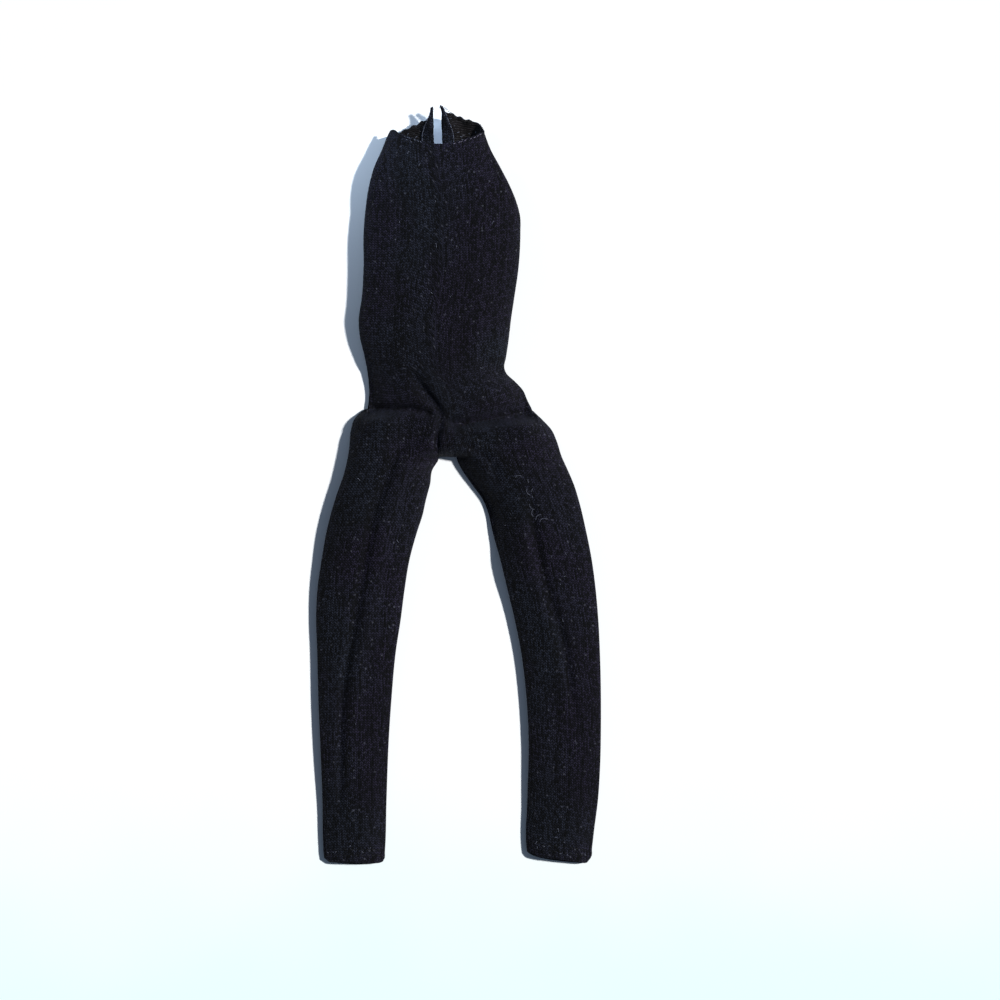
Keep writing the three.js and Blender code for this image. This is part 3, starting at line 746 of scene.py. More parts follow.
        # broad, uneven dye and rubbed fuzz
        wash = add_node(tree, "TexNoise", {"Scale": 1 / (14 * MM), "Detail": 3.0},
                        {"Vector": uv}, noise_dimensions="2D")
        tone = add_node(tree, "MapRange",
                        {"From Min": 0.3, "From Max": 0.7, "To Min": 0.75, "To Max": 1.2},
                        {"Value": wash})
        painted_light_and_tone = add_node(tree, "Math", links={0: lit, 1: tone}, operation="MULTIPLY")
        hue = add_node(tree, "TexNoise", {"Scale": 1 / (26 * MM), "Detail": 1.0},
                       {"Vector": uv}, noise_dimensions="2D")
        lean = add_node(tree, "MapRange", {"From Min": 0.35, "From Max": 0.65}, {"Value": hue})
        dyed = add_node(tree, "MixRGB", {1: hex_colour(self.yarn), 2: hex_colour(self.cool_yarn)},
                        {0: lean})
        # the painted shade between the loops, lifted towards the dyed yarn by the painted
        # highlights
        yarn = add_node(tree, "MixRGB", {1: hex_colour(self.groove)}, {0: painted_light_and_tone, 2: dyed})
        # pale specks: caught fibre ends and painted highlights on yarn crests
        colour = add_node(tree, "MixRGB", {2: hex_colour(self.speck)},
                          {0: self.specks(tree, uv), 1: yarn})
        bump = add_node(tree, "Bump", {"Strength": 0.9, "Distance": self.relief * MM},
                        {"Height": surface})
        shader = add_node(
            tree, "BsdfPrincipled",
            {"Roughness": 0.85, "Specular IOR Level": 0.12, "Sheen Weight": self.sheen,
             "Sheen Roughness": 0.5, "Sheen Tint": hex_colour(self.fuzz)},
            {"Base Color": colour, "Normal": bump})
        add_node(tree, "OutputMaterial", links={0: shader})
        return material


@dataclass(frozen=True)
class SpunThread:
    """Two-ply spun polyester sewing thread: a dull lustre, and the slanting lines of its twist.

    Args:
        name: the material's name.
        shadow: colour between the plies.
        light: colour on top of them.
        ply: spacing of the twist's lines, in millimetres.
        roughness: of its surface.
    """

    name: str = "black_spun_polyester_thread"
    shadow: str = "#030304"
    light: str = "#101016"
    ply: float = 0.35
    roughness: float = 0.55

    def build(self) -> bpy.types.Material:
        """Makes the material, with the ply's lines over the piece's own place.

        Returns:
            The material.
        """
        material = new_material(self.name)
        tree = material.node_tree
        place = add_node(tree, "TexCoord")
        twist = add_node(tree, "TexWave", {"Scale": 1 / (self.ply * MM), "Distortion": 1.5},
                         {"Vector": place.outputs["Object"]}, bands_direction="DIAGONAL")
        colour = add_node(tree, "MixRGB", {1: hex_colour(self.shadow), 2: hex_colour(self.light)},
                          {0: twist})
        bump = add_node(tree, "Bump", {"Strength": 0.6, "Distance": 0.05 * MM},
                        {"Height": twist})
        shader = add_node(tree, "BsdfPrincipled",
                          {"Roughness": self.roughness, "Specular IOR Level": 0.2,
                           "Sheen Weight": 0.02},
                          {"Base Color": colour, "Normal": bump})
        add_node(tree, "OutputMaterial", links={0: shader})
        return material


@dataclass(frozen=True)
class ClosureTape:
    """Woven nylon touch-fastener tape: a matt ground with a close nap that breaks up the light.

    Args:
        name: the material's name.
        ground: colour of the weave.
        nap: colour of the hooks or loops on it.
        pile: their spacing, in millimetres.
        relief: how far they stand up, in millimetres.
    """

    name: str
    ground: str
    nap: str
    pile: float
    relief: float

    def build(self) -> bpy.types.Material:
        """Makes the material: a close pile over a plain weave, on the piece's own place.

        Returns:
            The material.
        """
        material = new_material(self.name)
        tree = material.node_tree
        place = add_node(tree, "TexCoord")
        tufts = add_node(tree, "TexVoronoi", {"Scale": 1 / (self.pile * MM), "Randomness": 0.7},
                         {"Vector": place.outputs["Object"]})
        fibres = add_node(tree, "TexNoise",
                          {"Scale": 1 / (0.3 * MM), "Detail": 3.0, "Roughness": 0.8},
                          {"Vector": place.outputs["Object"]})
        fluff = add_node(tree, "Math", {2: 0.2}, {0: tufts, 1: fibres},
                         operation="MULTIPLY_ADD")
        colour = add_node(tree, "MixRGB", {1: hex_colour(self.nap), 2: hex_colour(self.ground)},
                          {0: fluff})
        bump = add_node(tree, "Bump", {"Strength": 0.8, "Distance": self.relief * MM},
                        {"Height": fluff}, invert=True)
        shader = add_node(tree, "BsdfPrincipled",
                          {"Roughness": 0.7, "Specular IOR Level": 0.35, "Sheen Weight": 0.2,
                           "Sheen Roughness": 0.4},
                          {"Base Color": colour, "Normal": bump})
        add_node(tree, "OutputMaterial", links={0: shader})
        return material


@dataclass(frozen=True)
class PaperSweep:
    """Matt white background paper, even and clean, with a faint painted cool shade just beyond the
    suit's feet, where the light falls off.

    Args:
        name: the material's name.
        white: its colour round the suit.
        cool: its colour in the painted shade beyond the feet.
        cooler_from: place up the frame, in millimetres, from which the painted shade begins.
        cooler_to: where the painted shade is full.
        patch_middle: middle of the patch of painted shade.
        patch_reach: distances from there between which the patch fades away.
    """

    name: str = "matt_white_paper"
    white: str = "#f8f9fa"
    cool: str = "#e5f7f8"
    cooler_from: float = -55.0
    cooler_to: float = -138.0
    patch_middle: tuple[float, float] = (16.0, -165.0)
    patch_reach: tuple[float, float] = (170.0, 330.0)

    def build(self) -> bpy.types.Material:
        """Makes the material, with a slow, slightly cloudy change into the painted cool shade.

        Returns:
            The material.
        """
        material = new_material(self.name)
        tree = material.node_tree
        place = add_node(tree, "TexCoord").outputs["Object"]
        split = add_node(tree, "SeparateXYZ", links={0: place})
        cloud = add_node(tree, "TexNoise", {"Scale": 1 / (90 * MM), "Detail": 2.0},
                         {"Vector": place})
        drift = add_node(tree, "Math", {1: 60 * MM}, {0: cloud, 2: split.outputs[1]},
                         operation="MULTIPLY_ADD")
        share = add_node(tree, "MapRange",
                         {"From Min": self.cooler_from * MM, "From Max": self.cooler_to * MM},
                         {"Value": drift}, interpolation_type="SMOOTHSTEP")
        middle = (self.patch_middle[0] * MM, self.patch_middle[1] * MM, 0.0)
        away = add_node(tree, "VectorMath", {1: middle}, {0: place}, operation="DISTANCE")
        inside = add_node(tree, "MapRange",
                          {"From Min": self.patch_reach[1] * MM,
                           "From Max": self.patch_reach[0] * MM},
                          {"Value": away.outputs["Value"]}, interpolation_type="SMOOTHSTEP")
        share = add_node(tree, "Math", links={0: share, 1: inside}, operation="MULTIPLY")
        # painted shade: the paper turns cool where the light falls off beyond the feet
        colour = add_node(tree, "MixRGB", {1: hex_colour(self.white), 2: hex_colour(self.cool)},
                          {0: share})
        shader = add_node(tree, "BsdfPrincipled",
                          {"Roughness": 0.95, "Specular IOR Level": 0.1},
                          {"Base Color": colour})
        add_node(tree, "OutputMaterial", links={0: shader})
        return material


@dataclass
class Finishes:
    """Every finish of the suit, made once."""

    knit: bpy.types.Material = field(default_factory=lambda: JerseyKnit().build())
    # the inside of the jersey: crosswise purl bumps, and warmer, as it has kept its dye
    inside: bpy.types.Material = field(default_factory=lambda: JerseyKnit(
        name="black_jersey_purl_side", groove="#0a0909", yarn="#262427", cool_yarn="#242425",
        speck="#4f4c50", fuzz="#c8bcc8", v_faced=False).build())
    thread: bpy.types.Material = field(default_factory=lambda: SpunThread().build())
    # one seam was sewn with a greyish lilac thread
    pale_thread: bpy.types.Material = field(default_factory=lambda: SpunThread(
        name="lilac_grey_spun_polyester_thread", shadow="#4a4657", light="#8d889c").build())
    # cotton lint: pale and dull
    lint: bpy.types.Material = field(default_factory=lambda: SpunThread(
        name="pale_cotton_lint", shadow="#50535f", light="#83879a", roughness=0.9).build())
    loops: bpy.types.Material = field(default_factory=lambda: ClosureTape(
        "black_nylon_loop_tape", "#101014", "#2a2a32", 0.45, 0.2).build())
    hooks: bpy.types.Material = field(default_factory=lambda: ClosureTape(
        "black_nylon_hook_tape", "#0c0c10", "#1d1d24", 0.35, 0.1).build())


# ------------------------------------------------------------------ making pieces
Spot = tuple[np.ndarray, np.ndarray, np.ndarray]


def as_object(
    name: str, mesh: bmesh.types.BMesh, *materials: bpy.types.Material
) -> bpy.types.Object:
    """Turns a finished bmesh into a smooth-shaded object that stands in the scene.

    Args:
        name: the object's name.
        mesh: the bmesh, which is used up.
        *materials: its finishes, in the order of the slots.

    Returns:
        The new object.
    """
    data = bpy.data.meshes.new(name)
    mesh.to_mesh(data)
    mesh.free()
    data.polygons.foreach_set("use_smooth", [True] * len(data.polygons))
    for material in materials:
        data.materials.append(material)
    piece = bpy.data.objects.new(name, data)
    bpy.context.scene.collection.objects.link(piece)
    return piece


@dataclass(frozen=True)
class Cloth:
    """A sheet of jersey, laid over the suit's form.

    Args:
        name: the piece's name.
        cells: grid cells across and up.
        place: gives millimetre x, y and z of the outer face for shares across and up. The outer
            face is the one on the left of a walk across and then up.
        thickness: of the cloth, in millimetres.
    """

    name: str
    cells: tuple[int, int]
    place: Callable[[np.ndarray, np.ndarray], Spot]
    thickness: float = 0.55

    def build(self, outer: bpy.types.Material, inner: bpy.types.Material) -> bpy.types.Object:
        """Makes the sheet with its "cloth" UV map, which measures metres along the cloth.

        Args:
            outer: finish of the outer face and the cut edges.
            inner: finish of the inner face.

        Returns:
            The sheet's object.
        """
        columns, rows = self.cells
        mesh = bmesh.new()
        bmesh.ops.create_grid(mesh, x_segments=columns, y_segments=rows, size=0.5)
        shares = np.array([vert.co[:2] for vert in mesh.verts]) + 0.5
        points = PLACE.metres(np.stack(self.place(shares[:, 0], shares[:, 1]), axis=1))
        column, row = np.rint(shares * self.cells).astype(int).T
        laid = np.zeros((rows + 1, columns + 1, 3))
        laid[row, column] = points
        across = np.zeros(laid.shape[:2])
        across[:, 1:] = np.cumsum(np.linalg.norm(np.diff(laid, axis=1), axis=2), axis=1)
        across -= across[:, [columns // 2]]
        up = np.zeros(laid.shape[:2])
        up[1:] = np.cumsum(np.linalg.norm(np.diff(laid, axis=0), axis=2), axis=0)
        layer = mesh.loops.layers.uv.new("cloth")
        for vert, point, i, j in zip(mesh.verts, points, column, row):
            vert.co = point
            for loop in vert.link_loops:
                loop[layer].uv = (across[j, i], up[j, i])
        piece = as_object(self.name, mesh, outer, inner)
        shell = piece.modifiers.new("thickness", "SOLIDIFY")
        shell.thickness = self.thickness * MM
        shell.offset = -1.0
        shell.material_offset = 1
        return piece


@dataclass(frozen=True)
class StitchRow:
    """A row of single stitches along a line on the cloth.

    Args:
        name: the piece's name.
        line: millimetre points that the row follows.
        pitch: distance from one stitch to the next.
        length: of one stitch.
        radius: of the thread.
        slant: turn of each stitch from the row's direction, in radians.
        jitter: how unevenly the stitches lie, as a share of the pitch.
    """

    name: str
    line: np.ndarray
    pitch: float = 1.5
    length: float = 1.15
    radius: float = 0.13
    slant: float = 0.0
    jitter: float = 0.08

    def build(self, material: bpy.types.Material) -> bpy.types.Object:
        """Makes all the stitches as one piece.

        Args:
            material: the thread's finish.

        Returns:
            The row's object.
        """
        draw = random.Random(self.name)
        steps = np.linalg.norm(np.diff(self.line, axis=0), axis=1)
        along = np.concatenate([[0.0], np.cumsum(steps)])
        mesh = bmesh.new()
        for i in range(int(along[-1] / self.pitch)):
            at = (i + 0.5 + draw.uniform(-self.jitter, self.jitter)) * self.pitch
            before, middle, after = (
                np.array([np.interp(at + shift, along, self.line[:, k]) for k in range(3)])
                for shift in (-0.3, 0.0, 0.3)
            )
            ahead = Vector(after - before).normalized()
            turn = Matrix.Rotation(self.slant + draw.uniform(-0.1, 0.1), 4, "Z")
            lie = Vector((1, 0, 0)).rotation_difference(ahead).to_matrix().to_4x4()
            half = self.length / 2 * (1.0 - 0.5 * self.jitter + draw.uniform(0, self.jitter)) * MM
            size = Matrix.Diagonal((half, self.radius * MM, self.radius * MM, 1))
            spot = Matrix.Translation(PLACE.point(*middle))
            bmesh.ops.create_uvsphere(mesh, u_segments=6, v_segments=4, radius=1.0,
                                      matrix=spot @ turn @ lie @ size)
        return as_object(self.name, mesh, material)


def on_line(
    points: Sequence[tuple[float, float]],
    surface: Callable[[np.ndarray, np.ndarray], np.ndarray],
    lift: float = 0.05,
    count: int = 160,
) -> np.ndarray:
    """A smooth line over a surface of the suit.

    Args:
        points: millimetre places (x, y) that it passes.
        surface: the height of the surface at each place.
        lift: how far above the surface it lies.
        count: how many points it is given.

    Returns:
        The line's points.
    """
    path = np.array(points, float)
    steps = np.hypot(*np.diff(path, axis=0).T)
    along = np.concatenate([[0.0], np.cumsum(steps)])
    fine = np.linspace(0.0, along[-1], count)
    x, y = (SmoothLine(tuple(zip(along, path[:, i])))(fine) for i in (0, 1))
    return np.stack([x, y, surface(x, y) + lift], axis=1)


# ------------------------------------------------------------------ the suit's parts
@dataclass(frozen=True)
class HingeBend:
    """The band of cloth beside a body's hinge, where it would bend as the body turns; only its
    ends are worked out.

    Args:
        body: the body that turns; the torso holds still.
        joint: its hinge.
        lead: how far from the hinge the bend starts, away from the torso.
        reach: length of the bend.
    """

    body: str
    joint: str
    lead: float
    reach: float

    def ends(self) -> tuple[Vector, Vector]:
        """Where the bend starts and where it ends, in the frame."""
        hinge = next(joint for joint in frame["joints"] if joint["name"] == self.joint)
        axis = Vector(hinge["axis"]).normalized()
        away = Vector((-axis.y, axis.x, 0.0))
        start = Vector(hinge["pos_m"]) + away * self.lead * MM
        return start, start + away * self.reach * MM

    def bend(self, piece: bpy.types.Object) -> bpy.types.Object:
        """Bakes the piece's transform into its mesh; the piece is not made to bend."""
        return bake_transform(piece)


HIP_BENDS = {
    Side.RIGHT: HingeBend("right_leg", "right_hip_fold", -0.8, 7.0),
    Side.LEFT: HingeBend("left_leg", "left_hip_fold", 2.2, 7.0),
}
FLAP_BENDS = {
    Side.RIGHT: HingeBend("right_flap", "right_flap_fold", -1.2, 3.0),
    Side.LEFT: HingeBend("left_flap", "left_flap_fold", -1.2, 3.0),
}


def settle(
    low: Callable[[np.ndarray], np.ndarray],
    high: Callable[[np.ndarray], np.ndarray],
    sides: Callable[[np.ndarray], tuple[np.ndarray, np.ndarray]],
    across: np.ndarray,
    up: np.ndarray,
) -> tuple[np.ndarray, np.ndarray]:
    """Finds where grid shares fall on a panel whose ends slant and whose sides curve.

    Args:
        low: the lower end's height over the sideways place.
        high: the upper end's height over it.
        sides: the two edges' sideways places over the height.
        across: shares from the first side to the second.
        up: shares from the lower end to the upper.

    Returns:
        The places x and y.
    """
    first, second = sides(mix(low(np.zeros_like(up)), high(np.zeros_like(up)), up))
    x = mix(first, second, across)
    for _ in range(6):
        y = mix(low(x), high(x), up)
        first, second = sides(y)
        x = mix(first, second, across)
    return x, mix(low(x), high(x), up)


def put_on(
    piece: bpy.types.Object, body: str | HingeBend, slot: str, *nodes: str
) -> bpy.types.Object:
    """Makes a piece follow its body, or only bakes its transform when it is given a bend, and
    hides the CAD nodes that it stands for.

    Args:
        piece: the finished piece.
        body: the body that it rides on, or a bend, which only has the piece's transform baked.
        slot: its material slot in the record; not used.
        *nodes: the CAD nodes that it replaces.

    Returns:
        The piece.
    """
    if isinstance(body, HingeBend):
        body.bend(piece)
    else:
        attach(piece, body)
    if nodes:
        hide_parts(*nodes)
    log.info("%s: %d vertices", piece.name, len(piece.data.vertices))
    return piece


@dataclass
class FrontBody:
    """The body's front: its cloth, the turned edges of neck and armholes, and their stitching.

    Args:
        finishes: the suit's finishes.
        cells: the cloth's grid cells across and up.
        flat: width and length of the piece as cut, in metres; not used.
        area: area of the piece as cut, in square metres; not used.
        neck_turning: how far down the neckline's turned band reaches.
        armhole_turning: how far in the armholes' turned bands reach.
    """

    finishes: Finishes
    cells: tuple[int, int] = (104, 176)
    flat: tuple[float, float] = (0.058, 0.088)
    area: float = 0.0043
    neck_turning: float = 3.0
    armhole_turning: float = 2.4
    # how far the turned bands stay from the edges and corners, and under the front's face
    from_neckline: float = 0.35
    from_sides: float = 0.06
    from_armhole: float = 0.6
    above_underarm: float = 1.5
    below_corner: float = 4.5
    band_depth: float = 0.62
    # where the bands are sewn down
    sewn_below_neckline: float = 1.9
    sewn_inside_armhole: float = 2.0

    def sides(self, y: np.ndarray) -> tuple[np.ndarray, np.ndarray]:
        """Right and left edges of the front at a height."""
        return FORM.body_sides(y, Layer.FRONT)

    def place(self, across: np.ndarray, up: np.ndarray) -> Spot:
        """Places of the front's cloth, from hip seam to neckline."""
        # rows lie closer towards the creases of the hips
        x, y = settle(FORM.hip_seam, FORM.neckline, self.sides,
                      FORM.gathered(across), up**1.25)
        return x, y, FORM.body_surface(x, y, Layer.FRONT)

    def under_neck(self, across: np.ndarray, up: np.ndarray) -> Spot:
        """Places of the band turned in along the neckline."""
        x, y = settle(lambda x: FORM.neckline(x) - self.neck_turning,
                      lambda x: FORM.neckline(x) - self.from_neckline, self.sides,
                      mix(self.from_sides, 1.0 - self.from_sides, FORM.gathered(across)), up)
        return x, y, FORM.body_surface(x, y, Layer.FRONT) - self.band_depth

    def under_armhole(self, side: Side) -> Callable[[np.ndarray, np.ndarray], Spot]:
        """Gives the places of the band turned in along one armhole.

        Args:
            side: which armhole.

        Returns:
            A function from shares across and up the band to its places.
        """

        def place(across: np.ndarray, up: np.ndarray) -> Spot:
            """Places of the band for shares across it and up it."""
            y = mix(FORM.underarm + self.above_underarm, FORM.neck - self.below_corner, up)
            right, left = self.sides(y)
            edge = right if side is Side.RIGHT else left
            share = across if side is Side.LEFT else 1.0 - across
            x = edge - side.value * mix(self.from_armhole, self.armhole_turning, 1.0 - share)
            return x, y, FORM.body_surface(x, y, Layer.FRONT) - self.band_depth

        return place

    def under_neckline(
        self, first: float, last: float, count: int, drop: float, lift: float = 0.05
    ) -> np.ndarray:
        """A line over the front that follows the neckline.

        Args:
            first: sideways place where it starts.
            last: sideways place where it ends.
            count: how many points it is laid through.
            drop: how far below the neckline it runs.
            lift: how far above the cloth it lies.

        Returns:
            The line's points.
        """
        places = np.linspace(first, last, count)
        return on_line(list(zip(places, FORM.neckline(places) - drop)), self.surface, lift)

    def surface(self, x: np.ndarray, y: np.ndarray) -> np.ndarray:
        """Height of the front's outer face."""
        return FORM.body_surface(x, y, Layer.FRONT)

    def stitching(self) -> None:
        """Sews the neckline and both armholes down."""
        row = self.under_neckline(-14.0, 1.5, 24, self.sewn_below_neckline)
        black = StitchRow("neck_stitching_front", row).build(self.finishes.thread)
        put_on(black, "torso", "sewing_thread", "neck_stitching")
        row = self.under_neckline(1.8, 10.9, 16, drop=0.55, lift=0.02)
        pale = StitchRow("neck_stitching_lilac", row, pitch=1.25, length=0.85, radius=0.085,
                         slant=0.25, jitter=0.25).build(self.finishes.pale_thread)
        put_on(pale, "torso", "sewing_thread")
        row = self.under_neckline(-13.6, -6.4, 12, drop=0.45, lift=0.02)
        frayed = StitchRow("neck_stitching_frayed", row, pitch=1.1, length=0.7, radius=0.065,
                           slant=-0.4, jitter=0.4).build(self.finishes.lint)
        put_on(frayed, "torso", "sewing_thread")
        for side in Side:
            heights = np.linspace(FORM.underarm + 0.8, FORM.neck - 2.0, 24)
            edge = self.sides(heights)[0 if side is Side.RIGHT else 1]
            inside = edge - side.value * self.sewn_inside_armhole
            row = on_line(list(zip(inside, heights)), self.surface)
            sewn = StitchRow(f"{side.word}_armhole_stitches", row).build(self.finishes.thread)
            put_on(sewn, "torso", "sewing_thread", f"{side.word}_armhole_stitching")

    def build(self) -> None:
        """Builds and dresses the whole front."""
        look = self.finishes
        front = Cloth("front_cloth", self.cells, self.place).build(look.knit, look.inside)
        put_on(front, "torso", "knit", "front_panel")
        neck = Cloth("neck_turning", (60, 5), self.under_neck, 0.4).build(look.inside, look.knit)
        bands = [put_on(neck, "torso", "turned_knit", "neck_facing")]
        for side in Side:
            band = Cloth(f"{side.word}_armhole_turning", (5, 40), self.under_armhole(side), 0.4)
            bands.append(put_on(band.build(look.inside, look.knit), "torso", "turned_knit",
                                f"{side.word}_armhole_facing"))
        self.stitching()


@dataclass
class BackPanel:
    """One half of the back: its cloth with the lifted neck flap, closure tape and seams.

    Args:
        side: the wearer's right or left half.
        finishes: the suit's finishes.
        cells: the cloth's grid cells across and up.
        flat: width and length of the piece as cut, in metres; not used.
        area: area of the piece as cut, in square metres; not used.
        turning_low: width of the slit's turned edge at the flap's tip.
        turning_high: its width at the neck.
    """

    side: Side
    finishes: Finishes
    cells: tuple[int, int] = (56, 190)
    flat: tuple[float, float] = (0.03, 0.094)
    area: float = 0.0019
    turning_low: float = 0.9
    turning_high: float = 3.7
    # where the slit's turned edge starts and ends, how it lies, and where its stitches run
    turning_below_flap: float = 4.0
    turning_narrows_from: float = 97.0
    tips: dict = field(default_factory=lambda: {Side.RIGHT: 105.6, Side.LEFT: 106.0})
    turning_from_slit: float = 0.1
    turning_cloth: float = 0.5
    cloth_and_gap: float = 0.62
    turning_roll: float = 0.22
    sewn_up: tuple[float, float] = (0.3, 0.97)
    sewn_across: dict = field(default_factory=lambda: {Side.RIGHT: 0.06, Side.LEFT: 0.94})
    # the closure tape: its place beside the slit, and the rounding of its corners and rim
    tape_from_slit: float = 1.9
    tape_corner: float = 0.6
    tape_rim: float = 0.12
    # the overlocked end and the side seam
    overlock_from: float = 98.2
    overlock_inset: float = 0.55
    side_seam_inset: float = 0.35

    def sides(self, y: np.ndarray) -> tuple[np.ndarray, np.ndarray]:
        """Left and right edges of the panel at a height, as its outer face looks down."""
        right, left = FORM.body_sides(np.minimum(y, FORM.neck), Layer.BACK)
        slit = FORM.slit_edge(y, self.side)
        return (slit, right) if self.side is Side.RIGHT else (left, slit)

    def place(self, across: np.ndarray, up: np.ndarray) -> Spot:
        """Places of the panel's cloth, from hip seam to cut end."""
        # rows draw closer to the flap, columns to the slit and to the side
        x, y = settle(FORM.hip_seam, FORM.raw_ends[self.side], self.sides,
                      FORM.gathered(across), mix(up, 1.0 - (1.0 - up) ** 2, 0.5))
        return x, y, FORM.back_surface(x, y, self.side)

    def turned_edge(self, across: np.ndarray, up: np.ndarray) -> Spot:
        """Places of the slit's edge turned in over the flap, which narrows to the flap's tip."""
        tip = self.tips[self.side]
        y = mix(FORM.flap_start - self.turning_below_flap, tip, up)
        width = mix(self.turning_high, self.turning_low,
                    smoothstep(self.turning_narrows_from, tip, y))
        slit = FORM.slit_edge(y, self.side)
        share = 1.0 - across if self.side is Side.RIGHT else across
        x = slit + self.side.value * mix(self.turning_from_slit, width, share)
        roll = self.turning_roll * np.sin(np.pi * np.clip(share, 0, 1)) + self.cloth_and_gap
        return x, y, FORM.back_surface(x, y, self.side) + self.turning_cloth + roll

    def slit_stitching(self) -> None:
        """Sews the turned edge down with a loose pale thread that shows inside the neck."""
        up = np.linspace(*self.sewn_up, 24)
        across = np.full_like(up, self.sewn_across[self.side])
        x, y, z = self.turned_edge(across, up)
        row = StitchRow(f"{self.side.word}_slit_stitches", np.stack([x, y, z + 0.1], axis=1),
                        pitch=0.7, length=0.85, radius=0.06, slant=0.2, jitter=0.5)
        put_on(row.build(self.finishes.lint), FLAP_BENDS[self.side], "sewing_thread")

    def tape(self) -> bpy.types.Object:
        """The tape that closes the back: hooks on the right panel, loops under the left.

        Returns:
            The tape's object, already on its body.
        """
        node = "hook_strip" if self.side is Side.RIGHT else "loop_strip"
        low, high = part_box(node)
        mesh = bmesh.new()
        bmesh.ops.create_cube(mesh, size=1.0)
        size = high - low
        bmesh.ops.scale(mesh, vec=size, verts=mesh.verts)
        upright = [e for e in mesh.edges if abs((e.verts[0].co - e.verts[1].co).z) > size.z / 2]
        bmesh.ops.bevel(mesh, geom=upright, offset=self.tape_corner * MM, segments=4,
                        affect="EDGES", profile=0.5, material=-1)
        rim = [e for e in mesh.edges if abs((e.verts[0].co - e.verts[1].co).z) < size.z / 2]
        bmesh.ops.bevel(mesh, geom=rim, offset=self.tape_rim * MM, segments=2,
                        affect="EDGES", profile=0.5, material=-1)
        long_edges = [e for e in mesh.edges if e.calc_length() > size.y / 2]
        bmesh.ops.subdivide_edges(mesh, edges=long_edges, cuts=30, use_grid_fill=True)
        middle = (low + high) / 2
        offset = self.side.value * self.tape_from_slit
        for vert in mesh.verts:
            y = (vert.co.y + middle.y - PLACE.origin.y) / MM
            # the tape follows the slit, which wanders a little
            lean = float(FORM.slit_middle(np.array([y]))[0])
            vert.co.x += PLACE.point(lean + offset, 0, 0).x
            vert.co.y += middle.y
            vert.co.z += middle.z
        finish = self.finishes.hooks if self.side is Side.RIGHT else self.finishes.loops
        return put_on(as_object(f"{node.split('_')[0]}_tape", mesh, finish), "torso",
                      "closure_tape", node)

    def seams(self) -> None:
        """Overlocks the cut end, and sews the side."""

        def inner(x: np.ndarray, y: np.ndarray) -> np.ndarray:
            """Height of the panel's inner face."""
            return FORM.back_surface(x, y, self.side) + 0.6

        word = self.side.word
        ends = np.array(FORM.raw_ends[self.side].points)
        kept = (np.abs(ends[:, 0]) > 0.9) & (ends[:, 1] > self.overlock_from)
        inside = ends[kept] - [0.0, self.overlock_inset]
        row = on_line([tuple(p) for p in inside], inner, 0.0)
        lock = StitchRow(f"{word}_neck_overlock_stitches", row, pitch=0.62, length=1.3,
                         radius=0.11, slant=1.25, jitter=0.3).build(self.finishes.thread)
        put_on(lock, FLAP_BENDS[self.side], "sewing_thread", f"{word}_neck_overlock")
        heights = np.linspace(17.0, FORM.underarm - 0.5, 40)
        right, left = FORM.body_sides(heights, Layer.FRONT)
        edge = right if self.side is Side.RIGHT else left
        edge = edge - self.side.value * self.side_seam_inset
        row = np.stack([edge, heights, FORM.body_side[self.side](heights)], axis=1)
        side_seam = StitchRow(f"{word}_side_stitches", row, slant=0.3)
        put_on(side_seam.build(self.finishes.thread), "torso", "sewing_thread",
               f"{word}_side_seam")

    def build(self) -> None:
        """Builds and dresses this half of the back."""
        look, word = self.finishes, self.side.word
        cloth = Cloth(f"back_cloth_{word}", self.cells, self.place).build(look.knit, look.inside)
        put_on(cloth, FLAP_BENDS[self.side], "knit", f"back_panel_{word}", f"{word}_neck_flap")
        edge = Cloth(f"{word}_slit_turning", (8, 48), self.turned_edge, self.turning_cloth)
        turned = put_on(edge.build(look.knit, look.inside), FLAP_BENDS[self.side],
                        "turned_knit", f"{word}_flap_facing")
        self.slit_stitching()
        self.seams()
        self.tape()


